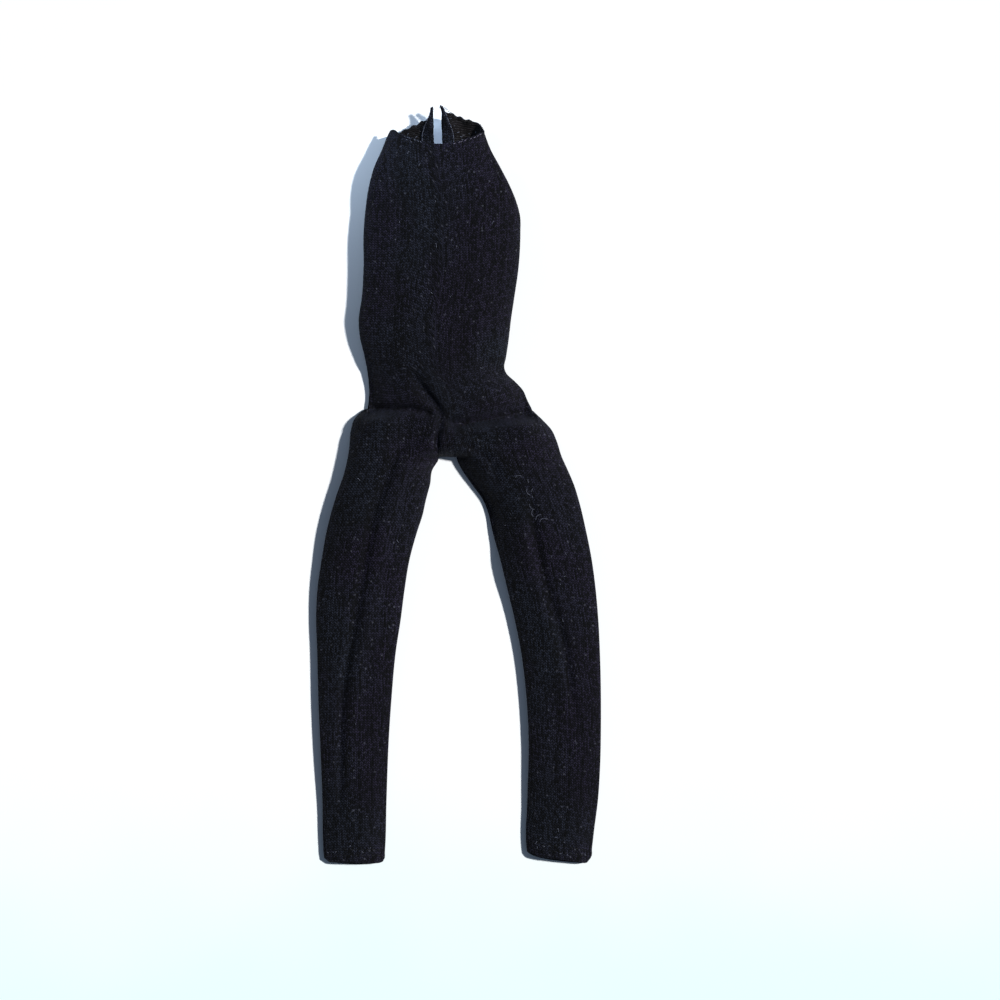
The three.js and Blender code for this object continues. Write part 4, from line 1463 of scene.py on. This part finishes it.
@dataclass
class Gusset:
    """The crotch gusset, sewn in two halves.

    Args:
        finishes: the suit's finishes.
        cells: grid cells of each half across and along.
        halves: the finished halves, once they are built.
    """

    finishes: Finishes
    cells: tuple[int, int] = (10, 64)
    halves: dict[Side, bpy.types.Object] = field(default_factory=dict)

    def place(self, side: Side) -> Callable[[np.ndarray, np.ndarray], Spot]:
        """Gives the places of one half, from the back's hip seam round to the front's.

        Args:
            side: which half.

        Returns:
            A function from shares across and along the half to its places.
        """

        def spot(across: np.ndarray, up: np.ndarray) -> Spot:
            """Places of the half for shares across it and along it."""
            half = FORM.gusset_half
            x = mix(-half, 0.0, across) if side is Side.RIGHT else mix(0.0, half, across)
            radius = FORM.body_top(FORM.crotch_rise) / 2.0
            straight = FORM.hip_seam(x) - radius
            turn = np.pi * radius / 2.0
            # a walk along the cloth: down the back, round the crotch, up the front
            walk = up * (2 * (straight + turn))
            back, front = walk < straight, walk > straight + 2 * turn
            angle = np.clip((walk - straight) / radius, 0.0, np.pi)
            y = radius * (1.0 - np.sin(angle))
            y = np.where(back, radius + straight - walk, y)
            y = np.where(front, radius + walk - straight - 2 * turn, y)
            upper = angle > np.pi / 2
            z = np.where(upper, FORM.gusset_surface(x, y, Layer.FRONT),
                         FORM.gusset_surface(x, y, Layer.BACK))
            return x, y, z

        return spot

    def build(self) -> None:
        """Builds both halves."""
        look = self.finishes
        for side in Side:
            half = Cloth(f"{side.word}_gusset_cloth", self.cells, self.place(side))
            piece = half.build(look.knit, look.inside)
            start = PLACE.point(side.value * FORM.gusset_half, self.bend_height(side), 0.0)
            along = PLACE.point(0.0, 0.0, 0.0) - start
            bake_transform(piece)
            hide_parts("crotch_gusset")
            log.info("%s: %d vertices", piece.name, len(piece.data.vertices))
            self.halves[side] = piece

    def bend_height(self, side: Side) -> float:
        """Where the band beside the leg's hip hinge starts, at the gusset's edge."""
        start, end = HIP_BENDS[side].ends()
        away = (end - start).normalized()
        edge = PLACE.point(side.value * FORM.gusset_half, 0.0, 0.0)
        y = start.y - (edge.x - start.x) * away.x / away.y
        return (y - PLACE.origin.y) / MM


@dataclass
class Leg:
    """One leg: front and back cloth, hem, and its seams.

    Args:
        side: the wearer's right or left leg.
        finishes: the suit's finishes.
        gusset: the gusset; not used.
        cells: grid cells of each layer's cloth across and up.
        flat: width and length of each layer as cut, in metres; not used.
        area: area of each layer as cut, in square metres; not used.
        front_short: how much shorter the front is in its middle.
        hem_turning: how far up the hem's turned edge reaches.
    """

    side: Side
    finishes: Finishes
    gusset: Gusset
    cells: tuple[int, int] = (68, 250)
    flat: tuple[float, float] = (0.034, 0.142)
    area: float = 0.0035
    front_short: float = 0.75
    hem_turning: float = 4.5
    # the hem's turned edge: how far it stays from the hem and the sides, and inside the layer
    turning_from_edge: float = 0.3
    turning_from_sides: float = 0.07
    turning_depth: float = 0.6
    # where the long seams and the hem's stitches run
    seam_low: float = -120.5
    seam_high: float = 11.0
    inseam_top: float = -1.0
    seam_inset: float = 0.35
    hem_sewn_at: float = -119.0
    hem_sewn_inset: float = 1.2
    # each row of the hem's stitches: how far above the hem, and in which layer
    hem_rows: tuple[tuple[float, Layer], ...] = (
        (2.3, Layer.FRONT), (4.1, Layer.FRONT), (3.2, Layer.BACK),
    )
    hip_sewn: dict = field(default_factory=lambda: {
        Side.RIGHT: (-23.0, -3.4), Side.LEFT: (3.4, 25.0),
    })

    def hem(self, x: np.ndarray, layer: Layer) -> np.ndarray:
        """The leg's lower end; the front's is a little shorter in its middle."""
        line = FORM.hems[self.side](x)
        if layer is Layer.BACK:
            return line
        right, left = FORM.leg_sides(line, self.side)
        across = np.clip((2 * x - right - left) / (left - right), -1, 1)
        return line + self.front_short * (1 - across**2)

    def sides(self, layer: Layer) -> Callable[[np.ndarray], tuple[np.ndarray, np.ndarray]]:
        """The leg's edges over its height, in the order in which a layer's grid runs."""

        def edges(y: np.ndarray) -> tuple[np.ndarray, np.ndarray]:
            """First and second edge at a height."""
            pair = FORM.leg_sides(y, self.side)
            return pair if layer is Layer.FRONT else pair[::-1]

        return edges

    def place(self, layer: Layer) -> Callable[[np.ndarray, np.ndarray], Spot]:
        """Gives the places of one layer's cloth, from hem to hip seam."""

        def spot(across: np.ndarray, up: np.ndarray) -> Spot:
            """Places of the cloth for shares across it and up it."""
            # rows draw closer to the creases of the hip
            x, y = settle(lambda x: self.hem(x, layer), FORM.hip_seam, self.sides(layer),
                          FORM.gathered(across), mix(up, 1.0 - (1.0 - up) ** 2, 0.45))
            return x, y, FORM.leg_surface(x, y, self.side, layer)

        return spot

    def turned_hem(self, layer: Layer) -> Callable[[np.ndarray, np.ndarray], Spot]:
        """Gives the places of the hem's turning, inside one layer."""

        def spot(across: np.ndarray, up: np.ndarray) -> Spot:
            """Places of the turning for shares across it and up it."""
            x, y = settle(lambda x: self.hem(x, layer) + self.turning_from_edge,
                          lambda x: self.hem(x, layer) + self.hem_turning, self.sides(layer),
                          mix(self.turning_from_sides, 1.0 - self.turning_from_sides, across), up)
            z = FORM.leg_surface(x, y, self.side, layer) - layer.value * self.turning_depth
            return x, y, z

        return spot

    def seams(self) -> None:
        """Sews hem, outer and inner seams and the hip seam."""
        word, look = self.side.word, self.finishes

        def over(layer: Layer) -> Callable[[np.ndarray, np.ndarray], np.ndarray]:
            """The surface of one layer of this leg."""
            return lambda x, y: FORM.leg_surface(x, y, self.side, layer)

        right, left = FORM.leg_sides(np.array([self.hem_sewn_at]), self.side)
        places = np.linspace(right[0] + self.hem_sewn_inset, left[0] - self.hem_sewn_inset, 24)
        rows = []
        for number, (rise, layer) in enumerate(self.hem_rows):
            line = on_line(list(zip(places, self.hem(places, layer) + rise)), over(layer),
                           0.04 * layer.value)
            row = StitchRow(f"{word}_hem_stitches_{number}", line, pitch=1.7, length=1.2)
            rows.append(row.build(look.thread))
        put_on(rows[0], HIP_BENDS[self.side].body, "sewing_thread", f"{word}_hem_stitching")
        for row in rows[1:]:
            put_on(row, HIP_BENDS[self.side].body, "sewing_thread")
        heights = np.linspace(self.seam_low, self.seam_high, 120)
        for kind, edges, rises, inwards in (
            ("outseam", FORM.leg_outer, FORM.outer_side, self.seam_inset),
            ("inseam", FORM.leg_inner, FORM.inner_side, -self.seam_inset),
        ):
            low = heights if kind == "outseam" else heights[heights < self.inseam_top]
            x = edges[self.side](low) - self.side.value * inwards
            line = np.stack([x, low, rises[self.side](low)], axis=1)
            seam = StitchRow(f"{word}_{kind}_stitches", line, pitch=1.6, slant=0.3)
            put_on(seam.build(look.thread), HIP_BENDS[self.side], "sewing_thread",
                   f"{word}_leg_{kind}")
        places = np.linspace(*self.hip_sewn[self.side], 30)
        line = on_line(list(zip(places, FORM.hip_seam(places))),
                       lambda x, y: FORM.body_surface(x, y, Layer.FRONT), -0.1)
        seam = StitchRow(f"{word}_hip_stitches", line, pitch=1.5, slant=0.5)
        put_on(seam.build(look.thread), "torso", "sewing_thread", f"{word}_hip_seam")

    def build(self) -> None:
        """Builds and dresses the leg."""
        look, word = self.finishes, self.side.word
        for layer in Layer:
            name = f"{word}_leg_{layer.word}"
            cloth = Cloth(f"{name}_cloth", self.cells, self.place(layer))
            piece = put_on(cloth.build(look.knit, look.inside), HIP_BENDS[self.side], "knit",
                           name)
            band = Cloth(f"{word}_hem_turning_{layer.word}", (40, 8), self.turned_hem(layer), 0.4)
            turned = put_on(band.build(look.inside, look.knit), HIP_BENDS[self.side].body,
                            "turned_knit", f"{word}_leg_hem")
        self.seams()


@dataclass
class CentreBackSeam:
    """The short seam that joins the back's halves under the slit."""

    finishes: Finishes
    low: float = 12.5
    below_slit: float = 0.5
    lift: float = 0.62

    def build(self) -> None:
        """Sews the two halves together up to the slit."""
        heights = np.linspace(self.low, FORM.slit_low - self.below_slit, 40)
        lifts = np.full_like(heights, self.lift)
        line = np.stack([FORM.slit_middle(heights), heights, lifts], axis=1)
        seam = StitchRow("centre_back_stitches", line, pitch=1.5, slant=0.4)
        put_on(seam.build(self.finishes.thread), "torso", "sewing_thread", "centre_back_seam")


@dataclass(frozen=True)
class Caught:
    """A pale bit of lint caught in the cloth, at a place x and y on one body."""

    x: float
    y: float
    body: str


@dataclass
class LooseFibres:
    """Curled bits of lint on the cloth, which dark jersey always picks up.

    Args:
        finishes: the suit's finishes.
        radius: of a fibre, drawn a little coarser than real cotton so that it shows.
        marks: fibres whose places are known.
        long_curl: places x and y along the one long fibre, and where each of its curls points.
        scattered: how many more fibres lie on each body.
    """

    finishes: Finishes
    radius: float = 0.045
    cloth_above_outer: float = 0.65
    marks: tuple[Caught, ...] = (
        Caught(-35.9, -120.4, "right_leg"), Caught(-34.7, -120.1, "right_leg"),
        Caught(-33.6, -119.6, "right_leg"), Caught(-29.5, -118.4, "right_leg"),
        Caught(-25.4, -120.2, "right_leg"), Caught(-23.4, -119.0, "right_leg"),
        Caught(27.6, -118.3, "left_leg"), Caught(29.6, -118.4, "left_leg"),
        Caught(31.4, -118.3, "left_leg"), Caught(28.7, -115.7, "left_leg"),
        Caught(33.5, -115.7, "left_leg"), Caught(35.9, -116.9, "left_leg"),
        Caught(34.8, -120.5, "left_leg"), Caught(36.6, -120.5, "left_leg"),
        Caught(40.6, -120.5, "left_leg"), Caught(42.0, -121.2, "left_leg"),
        Caught(4.4, 96.0, "torso"), Caught(-12.3, 95.8, "torso"), Caught(-10.9, 95.4, "torso"),
        Caught(-11.6, 98.4, "right_flap"), Caught(-10.2, 98.1, "right_flap"),
        Caught(-9.0, 97.5, "right_flap"), Caught(-8.2, 98.9, "right_flap"),
        Caught(-7.3, 98.0, "right_flap"), Caught(-6.6, 100.3, "right_flap"),
        Caught(1.4, 102.6, "left_flap"), Caught(2.3, 100.4, "left_flap"),
        Caught(3.1, 98.6, "left_flap"), Caught(3.9, 97.6, "left_flap"),
        Caught(5.3, 97.9, "left_flap"), Caught(6.9, 98.2, "left_flap"),
        Caught(8.8, 98.9, "left_flap"), Caught(10.2, 99.6, "left_flap"),
    )
    # the long curly fibre lies on the left thigh
    long_curl: tuple[tuple[float, float, float], ...] = (
        (22.9, -6.2, 0.6), (24.6, -8.0, -0.3), (24.3, -9.6, 2.6), (25.6, -10.6, -0.6),
        (25.9, -12.4, -0.2), (25.1, -14.3, 2.9), (26.2, -16.0, 2.2), (28.6, -17.6, 1.3),
        (30.2, -18.9, 0.9),
    )
    scattered: dict = field(default_factory=lambda: {
        "torso": 15, "right_leg": 9, "left_leg": 11, "right_flap": 0, "left_flap": 0,
    })
    # lift over the cloth, and ranges of curl and length, of known, scattered and long fibres
    mark_lift: float = 0.06
    mark_curl: tuple[float, float] = (0.3, 0.9)
    mark_length: tuple[float, float] = (0.5, 0.9)
    scattered_lift: float = 0.04
    scattered_curl: tuple[float, float] = (0.35, 1.6)
    scattered_length: tuple[float, float] = (0.3, 1.3)
    long_lift: float = 0.08
    long_curl_radius: float = 1.3
    long_curl_length: float = 2.6
    any_turn: tuple[float, float] = (0.0, 6.28)
    # where scattered fibres may lie: over the height of body and legs, and over their width
    body_heights: tuple[float, float] = (18.0, 92.0)
    leg_heights: tuple[float, float] = (-119.0, 0.0)
    widths: tuple[float, float] = (0.08, 0.92)

    def height(self, x: float, y: float, body: str) -> float:
        """Height at a place of the cloth that faces up: the front's, or a neck flap's inside."""
        at = np.array([x]), np.array([y])
        if body == "torso":
            return float(FORM.body_surface(*at, Layer.FRONT)[0])
        side = Side.RIGHT if body.startswith("right") else Side.LEFT
        if body.endswith("flap"):
            return float(FORM.back_surface(*at, side)[0]) + self.cloth_above_outer
        return float(FORM.leg_surface(*at, side, Layer.FRONT)[0])

    def fibre(self, mesh: bmesh.types.BMesh, at: Vector, curl: float, length: float,
              turn: float) -> None:
        """Adds one curled fibre: a ring of four points, spun round the middle of its curl.

        Args:
            mesh: the mesh that it is added to.
            at: where it lies, in the frame.
            curl: radius of its curl, in metres.
            length: its length, in metres.
            turn: which way it points, in radians.
        """
        out = Vector((math.cos(turn), math.sin(turn), 0.0))
        stand = Matrix.Rotation(turn, 4, "Z") @ Matrix.Rotation(math.pi / 2, 4, "X")
        ring = bmesh.ops.create_circle(mesh, segments=4, radius=self.radius * MM,
                                       matrix=Matrix.Translation(at) @ stand)["verts"]
        edges = {edge for vert in ring for edge in vert.link_edges}
        bmesh.ops.spin(mesh, geom=[*ring, *edges], cent=at - out * curl, axis=(0, 0, 1),
                       dvec=(0, 0, 0), angle=length / curl, steps=5, use_merge=False,
                       use_duplicate=False)

    def build(self) -> None:
        """Scatters fibres over each body's cloth, and puts the known ones in their places."""
        for body, count in self.scattered.items():
            draw = random.Random(body)
            mesh = bmesh.new()
            for mark in (m for m in self.marks if m.body == body):
                height = self.height(mark.x, mark.y, body) + self.mark_lift
                self.fibre(mesh, PLACE.point(mark.x, mark.y, height),
                           draw.uniform(*self.mark_curl) * MM,
                           draw.uniform(*self.mark_length) * MM, draw.uniform(*self.any_turn))
            for _ in range(count):
                x, y = self.somewhere(body, draw)
                height = self.height(x, y, body) + self.scattered_lift
                self.fibre(mesh, PLACE.point(x, y, height),
                           draw.uniform(*self.scattered_curl) * MM,
                           draw.uniform(*self.scattered_length) * MM,
                           draw.uniform(*self.any_turn))
            if body == "left_leg":
                for x, y, turn in self.long_curl:
                    at = PLACE.point(x, y, self.height(x, y, body) + self.long_lift)
                    self.fibre(mesh, at, self.long_curl_radius * MM,
                               self.long_curl_length * MM, turn)
            bmesh.ops.recalc_face_normals(mesh, faces=mesh.faces)
            put_on(as_object(f"{body}_lint", mesh, self.finishes.lint), body, "sewing_thread")

    def somewhere(self, body: str, draw: random.Random) -> tuple[float, float]:
        """A seeded place on the front of a body's cloth."""
        if body == "torso":
            y = draw.uniform(*self.body_heights)
            right, left = FORM.body_sides(np.array([y]), Layer.FRONT)
        else:
            y = draw.uniform(*self.leg_heights)
            side = Side.RIGHT if body == "right_leg" else Side.LEFT
            right, left = FORM.leg_sides(np.array([y]), side)
        return mix(right[0], left[0], draw.uniform(*self.widths)), y


# ------------------------------------------------------------------ floor, light and camera
@dataclass(frozen=True)
class Studio:
    """A white floor, a compact key light, a bluish window and fill, and a camera above."""

    floor_size: float = 3.0
    floor_drop: float = 0.2
    middle: tuple[float, float] = (16.1, -13.1)
    seen_width: float = 304.0
    focus_height: float = 2.0
    lens: float = 120.0
    sensor: float = 36.0
    key_direction: tuple[float, float, float] = (22.0, 5.0, 22.0)
    key_strength: float = 4.5
    key_spread: float = 4.0
    key_colour: str = "#fefefc"
    fill_colour: tuple[float, float, float] = (0.076, 0.099, 0.137)
    window_place: tuple[float, float, float] = (-55.0, 124.0, 44.0)
    window_size: float = 30.0
    window_power: float = 0.033
    window_colour: str = "#c3d9f2"
    window_aim: tuple[float, float, float] = (-25.0, 85.0, 0.0)
    glint_place: tuple[float, float, float] = (-2.6, 160.0, 40.0)
    glint_aim: tuple[float, float, float] = (-2.6, 92.5, 0.0)
    glint_size: float = 3.0
    glint_spread: float = 14.0
    glint_power: float = 0.225
    glint_colour: str = "#bad3f3"

    def floor(self) -> None:
        """Lays the paper floor just under the suit."""
        mesh = bmesh.new()
        bmesh.ops.create_grid(mesh, x_segments=2, y_segments=2, size=self.floor_size / 2)
        paper = as_object("floor", mesh, PaperSweep().build())
        paper.data.transform(Matrix.Translation((0, 0, -self.floor_drop * MM)))

    def hang(
        self, light: bpy.types.Light, place: tuple[float, float, float],
        aim: tuple[float, float, float]
    ) -> None:
        """Puts a light at a place and points it, out of the camera's sight.

        Args:
            light: the light's data.
            place: where it hangs, in millimetres from the crotch.
            aim: the spot that it points at.
        """
        lamp = bpy.data.objects.new(light.name, light)
        lamp.location = PLACE.point(*place)
        lamp.visible_camera = False
        turned = lamp.location - PLACE.point(*aim)
        lamp.rotation_euler = turned.to_track_quat("Z", "Y").to_euler()
        bpy.context.scene.collection.objects.link(lamp)

    def lights(self) -> None:
        """Sets the key, a bluish window beyond the neck, its glint in the slit, and a fill."""
        key = bpy.data.lights.new("key", "SUN")
        key.energy = self.key_strength
        key.angle = math.radians(self.key_spread)
        key.color = hex_colour(self.key_colour)[:3]
        lamp = bpy.data.objects.new("key", key)
        lamp.rotation_euler = Vector(self.key_direction).to_track_quat("Z", "Y").to_euler()
        bpy.context.scene.collection.objects.link(lamp)
        pane = bpy.data.lights.new("window", "AREA")
        pane.energy, pane.size = self.window_power, self.window_size * MM
        pane.color = hex_colour(self.window_colour)[:3]
        self.hang(pane, self.window_place, self.window_aim)
        glint = bpy.data.lights.new("glint", "SPOT")
        glint.energy, glint.shadow_soft_size = self.glint_power, self.glint_size * MM
        glint.spot_size, glint.spot_blend = math.radians(self.glint_spread), 1.0
        glint.color = hex_colour(self.glint_colour)[:3]
        self.hang(glint, self.glint_place, self.glint_aim)
        world = bpy.data.worlds.new("fill")
        world.use_nodes = True
        world.node_tree.nodes.clear()
        sky = add_node(world.node_tree, "Background",
                       {0: (*self.fill_colour, 1.0), 1: 1.0})
        add_node(world.node_tree, "OutputWorld", links={0: sky})
        bpy.context.scene.world = world

    def camera(self) -> None:
        """Hangs the camera straight above the middle of the view."""
        data = bpy.data.cameras.new("camera")
        data.lens, data.sensor_width = self.lens, self.sensor
        above = self.seen_width * self.lens / self.sensor + self.focus_height
        camera = bpy.data.objects.new("camera", data)
        camera.location = PLACE.point(*self.middle, above)
        bpy.context.scene.collection.objects.link(camera)
        bpy.context.scene.camera = camera

    def build(self) -> None:
        """Sets up the whole studio, and plain colours without a film curve."""
        self.floor()
        self.lights()
        self.camera()
        bpy.context.scene.view_settings.view_transform = "Standard"


def main() -> None:
    """Builds the suit part by part, then the studio."""
    logging.basicConfig(level=logging.INFO, format="%(name)s: %(message)s")
    finishes = Finishes()
    gusset = Gusset(finishes)
    parts = [
        BackPanel(Side.RIGHT, finishes), BackPanel(Side.LEFT, finishes), FrontBody(finishes),
        gusset, Leg(Side.RIGHT, finishes, gusset), Leg(Side.LEFT, finishes, gusset),
        CentreBackSeam(finishes), LooseFibres(finishes), Studio(),
    ]
    for part in parts:
        part.build()
        log.info("%s is done", type(part).__name__)


if __name__ == "__main__":
    main()
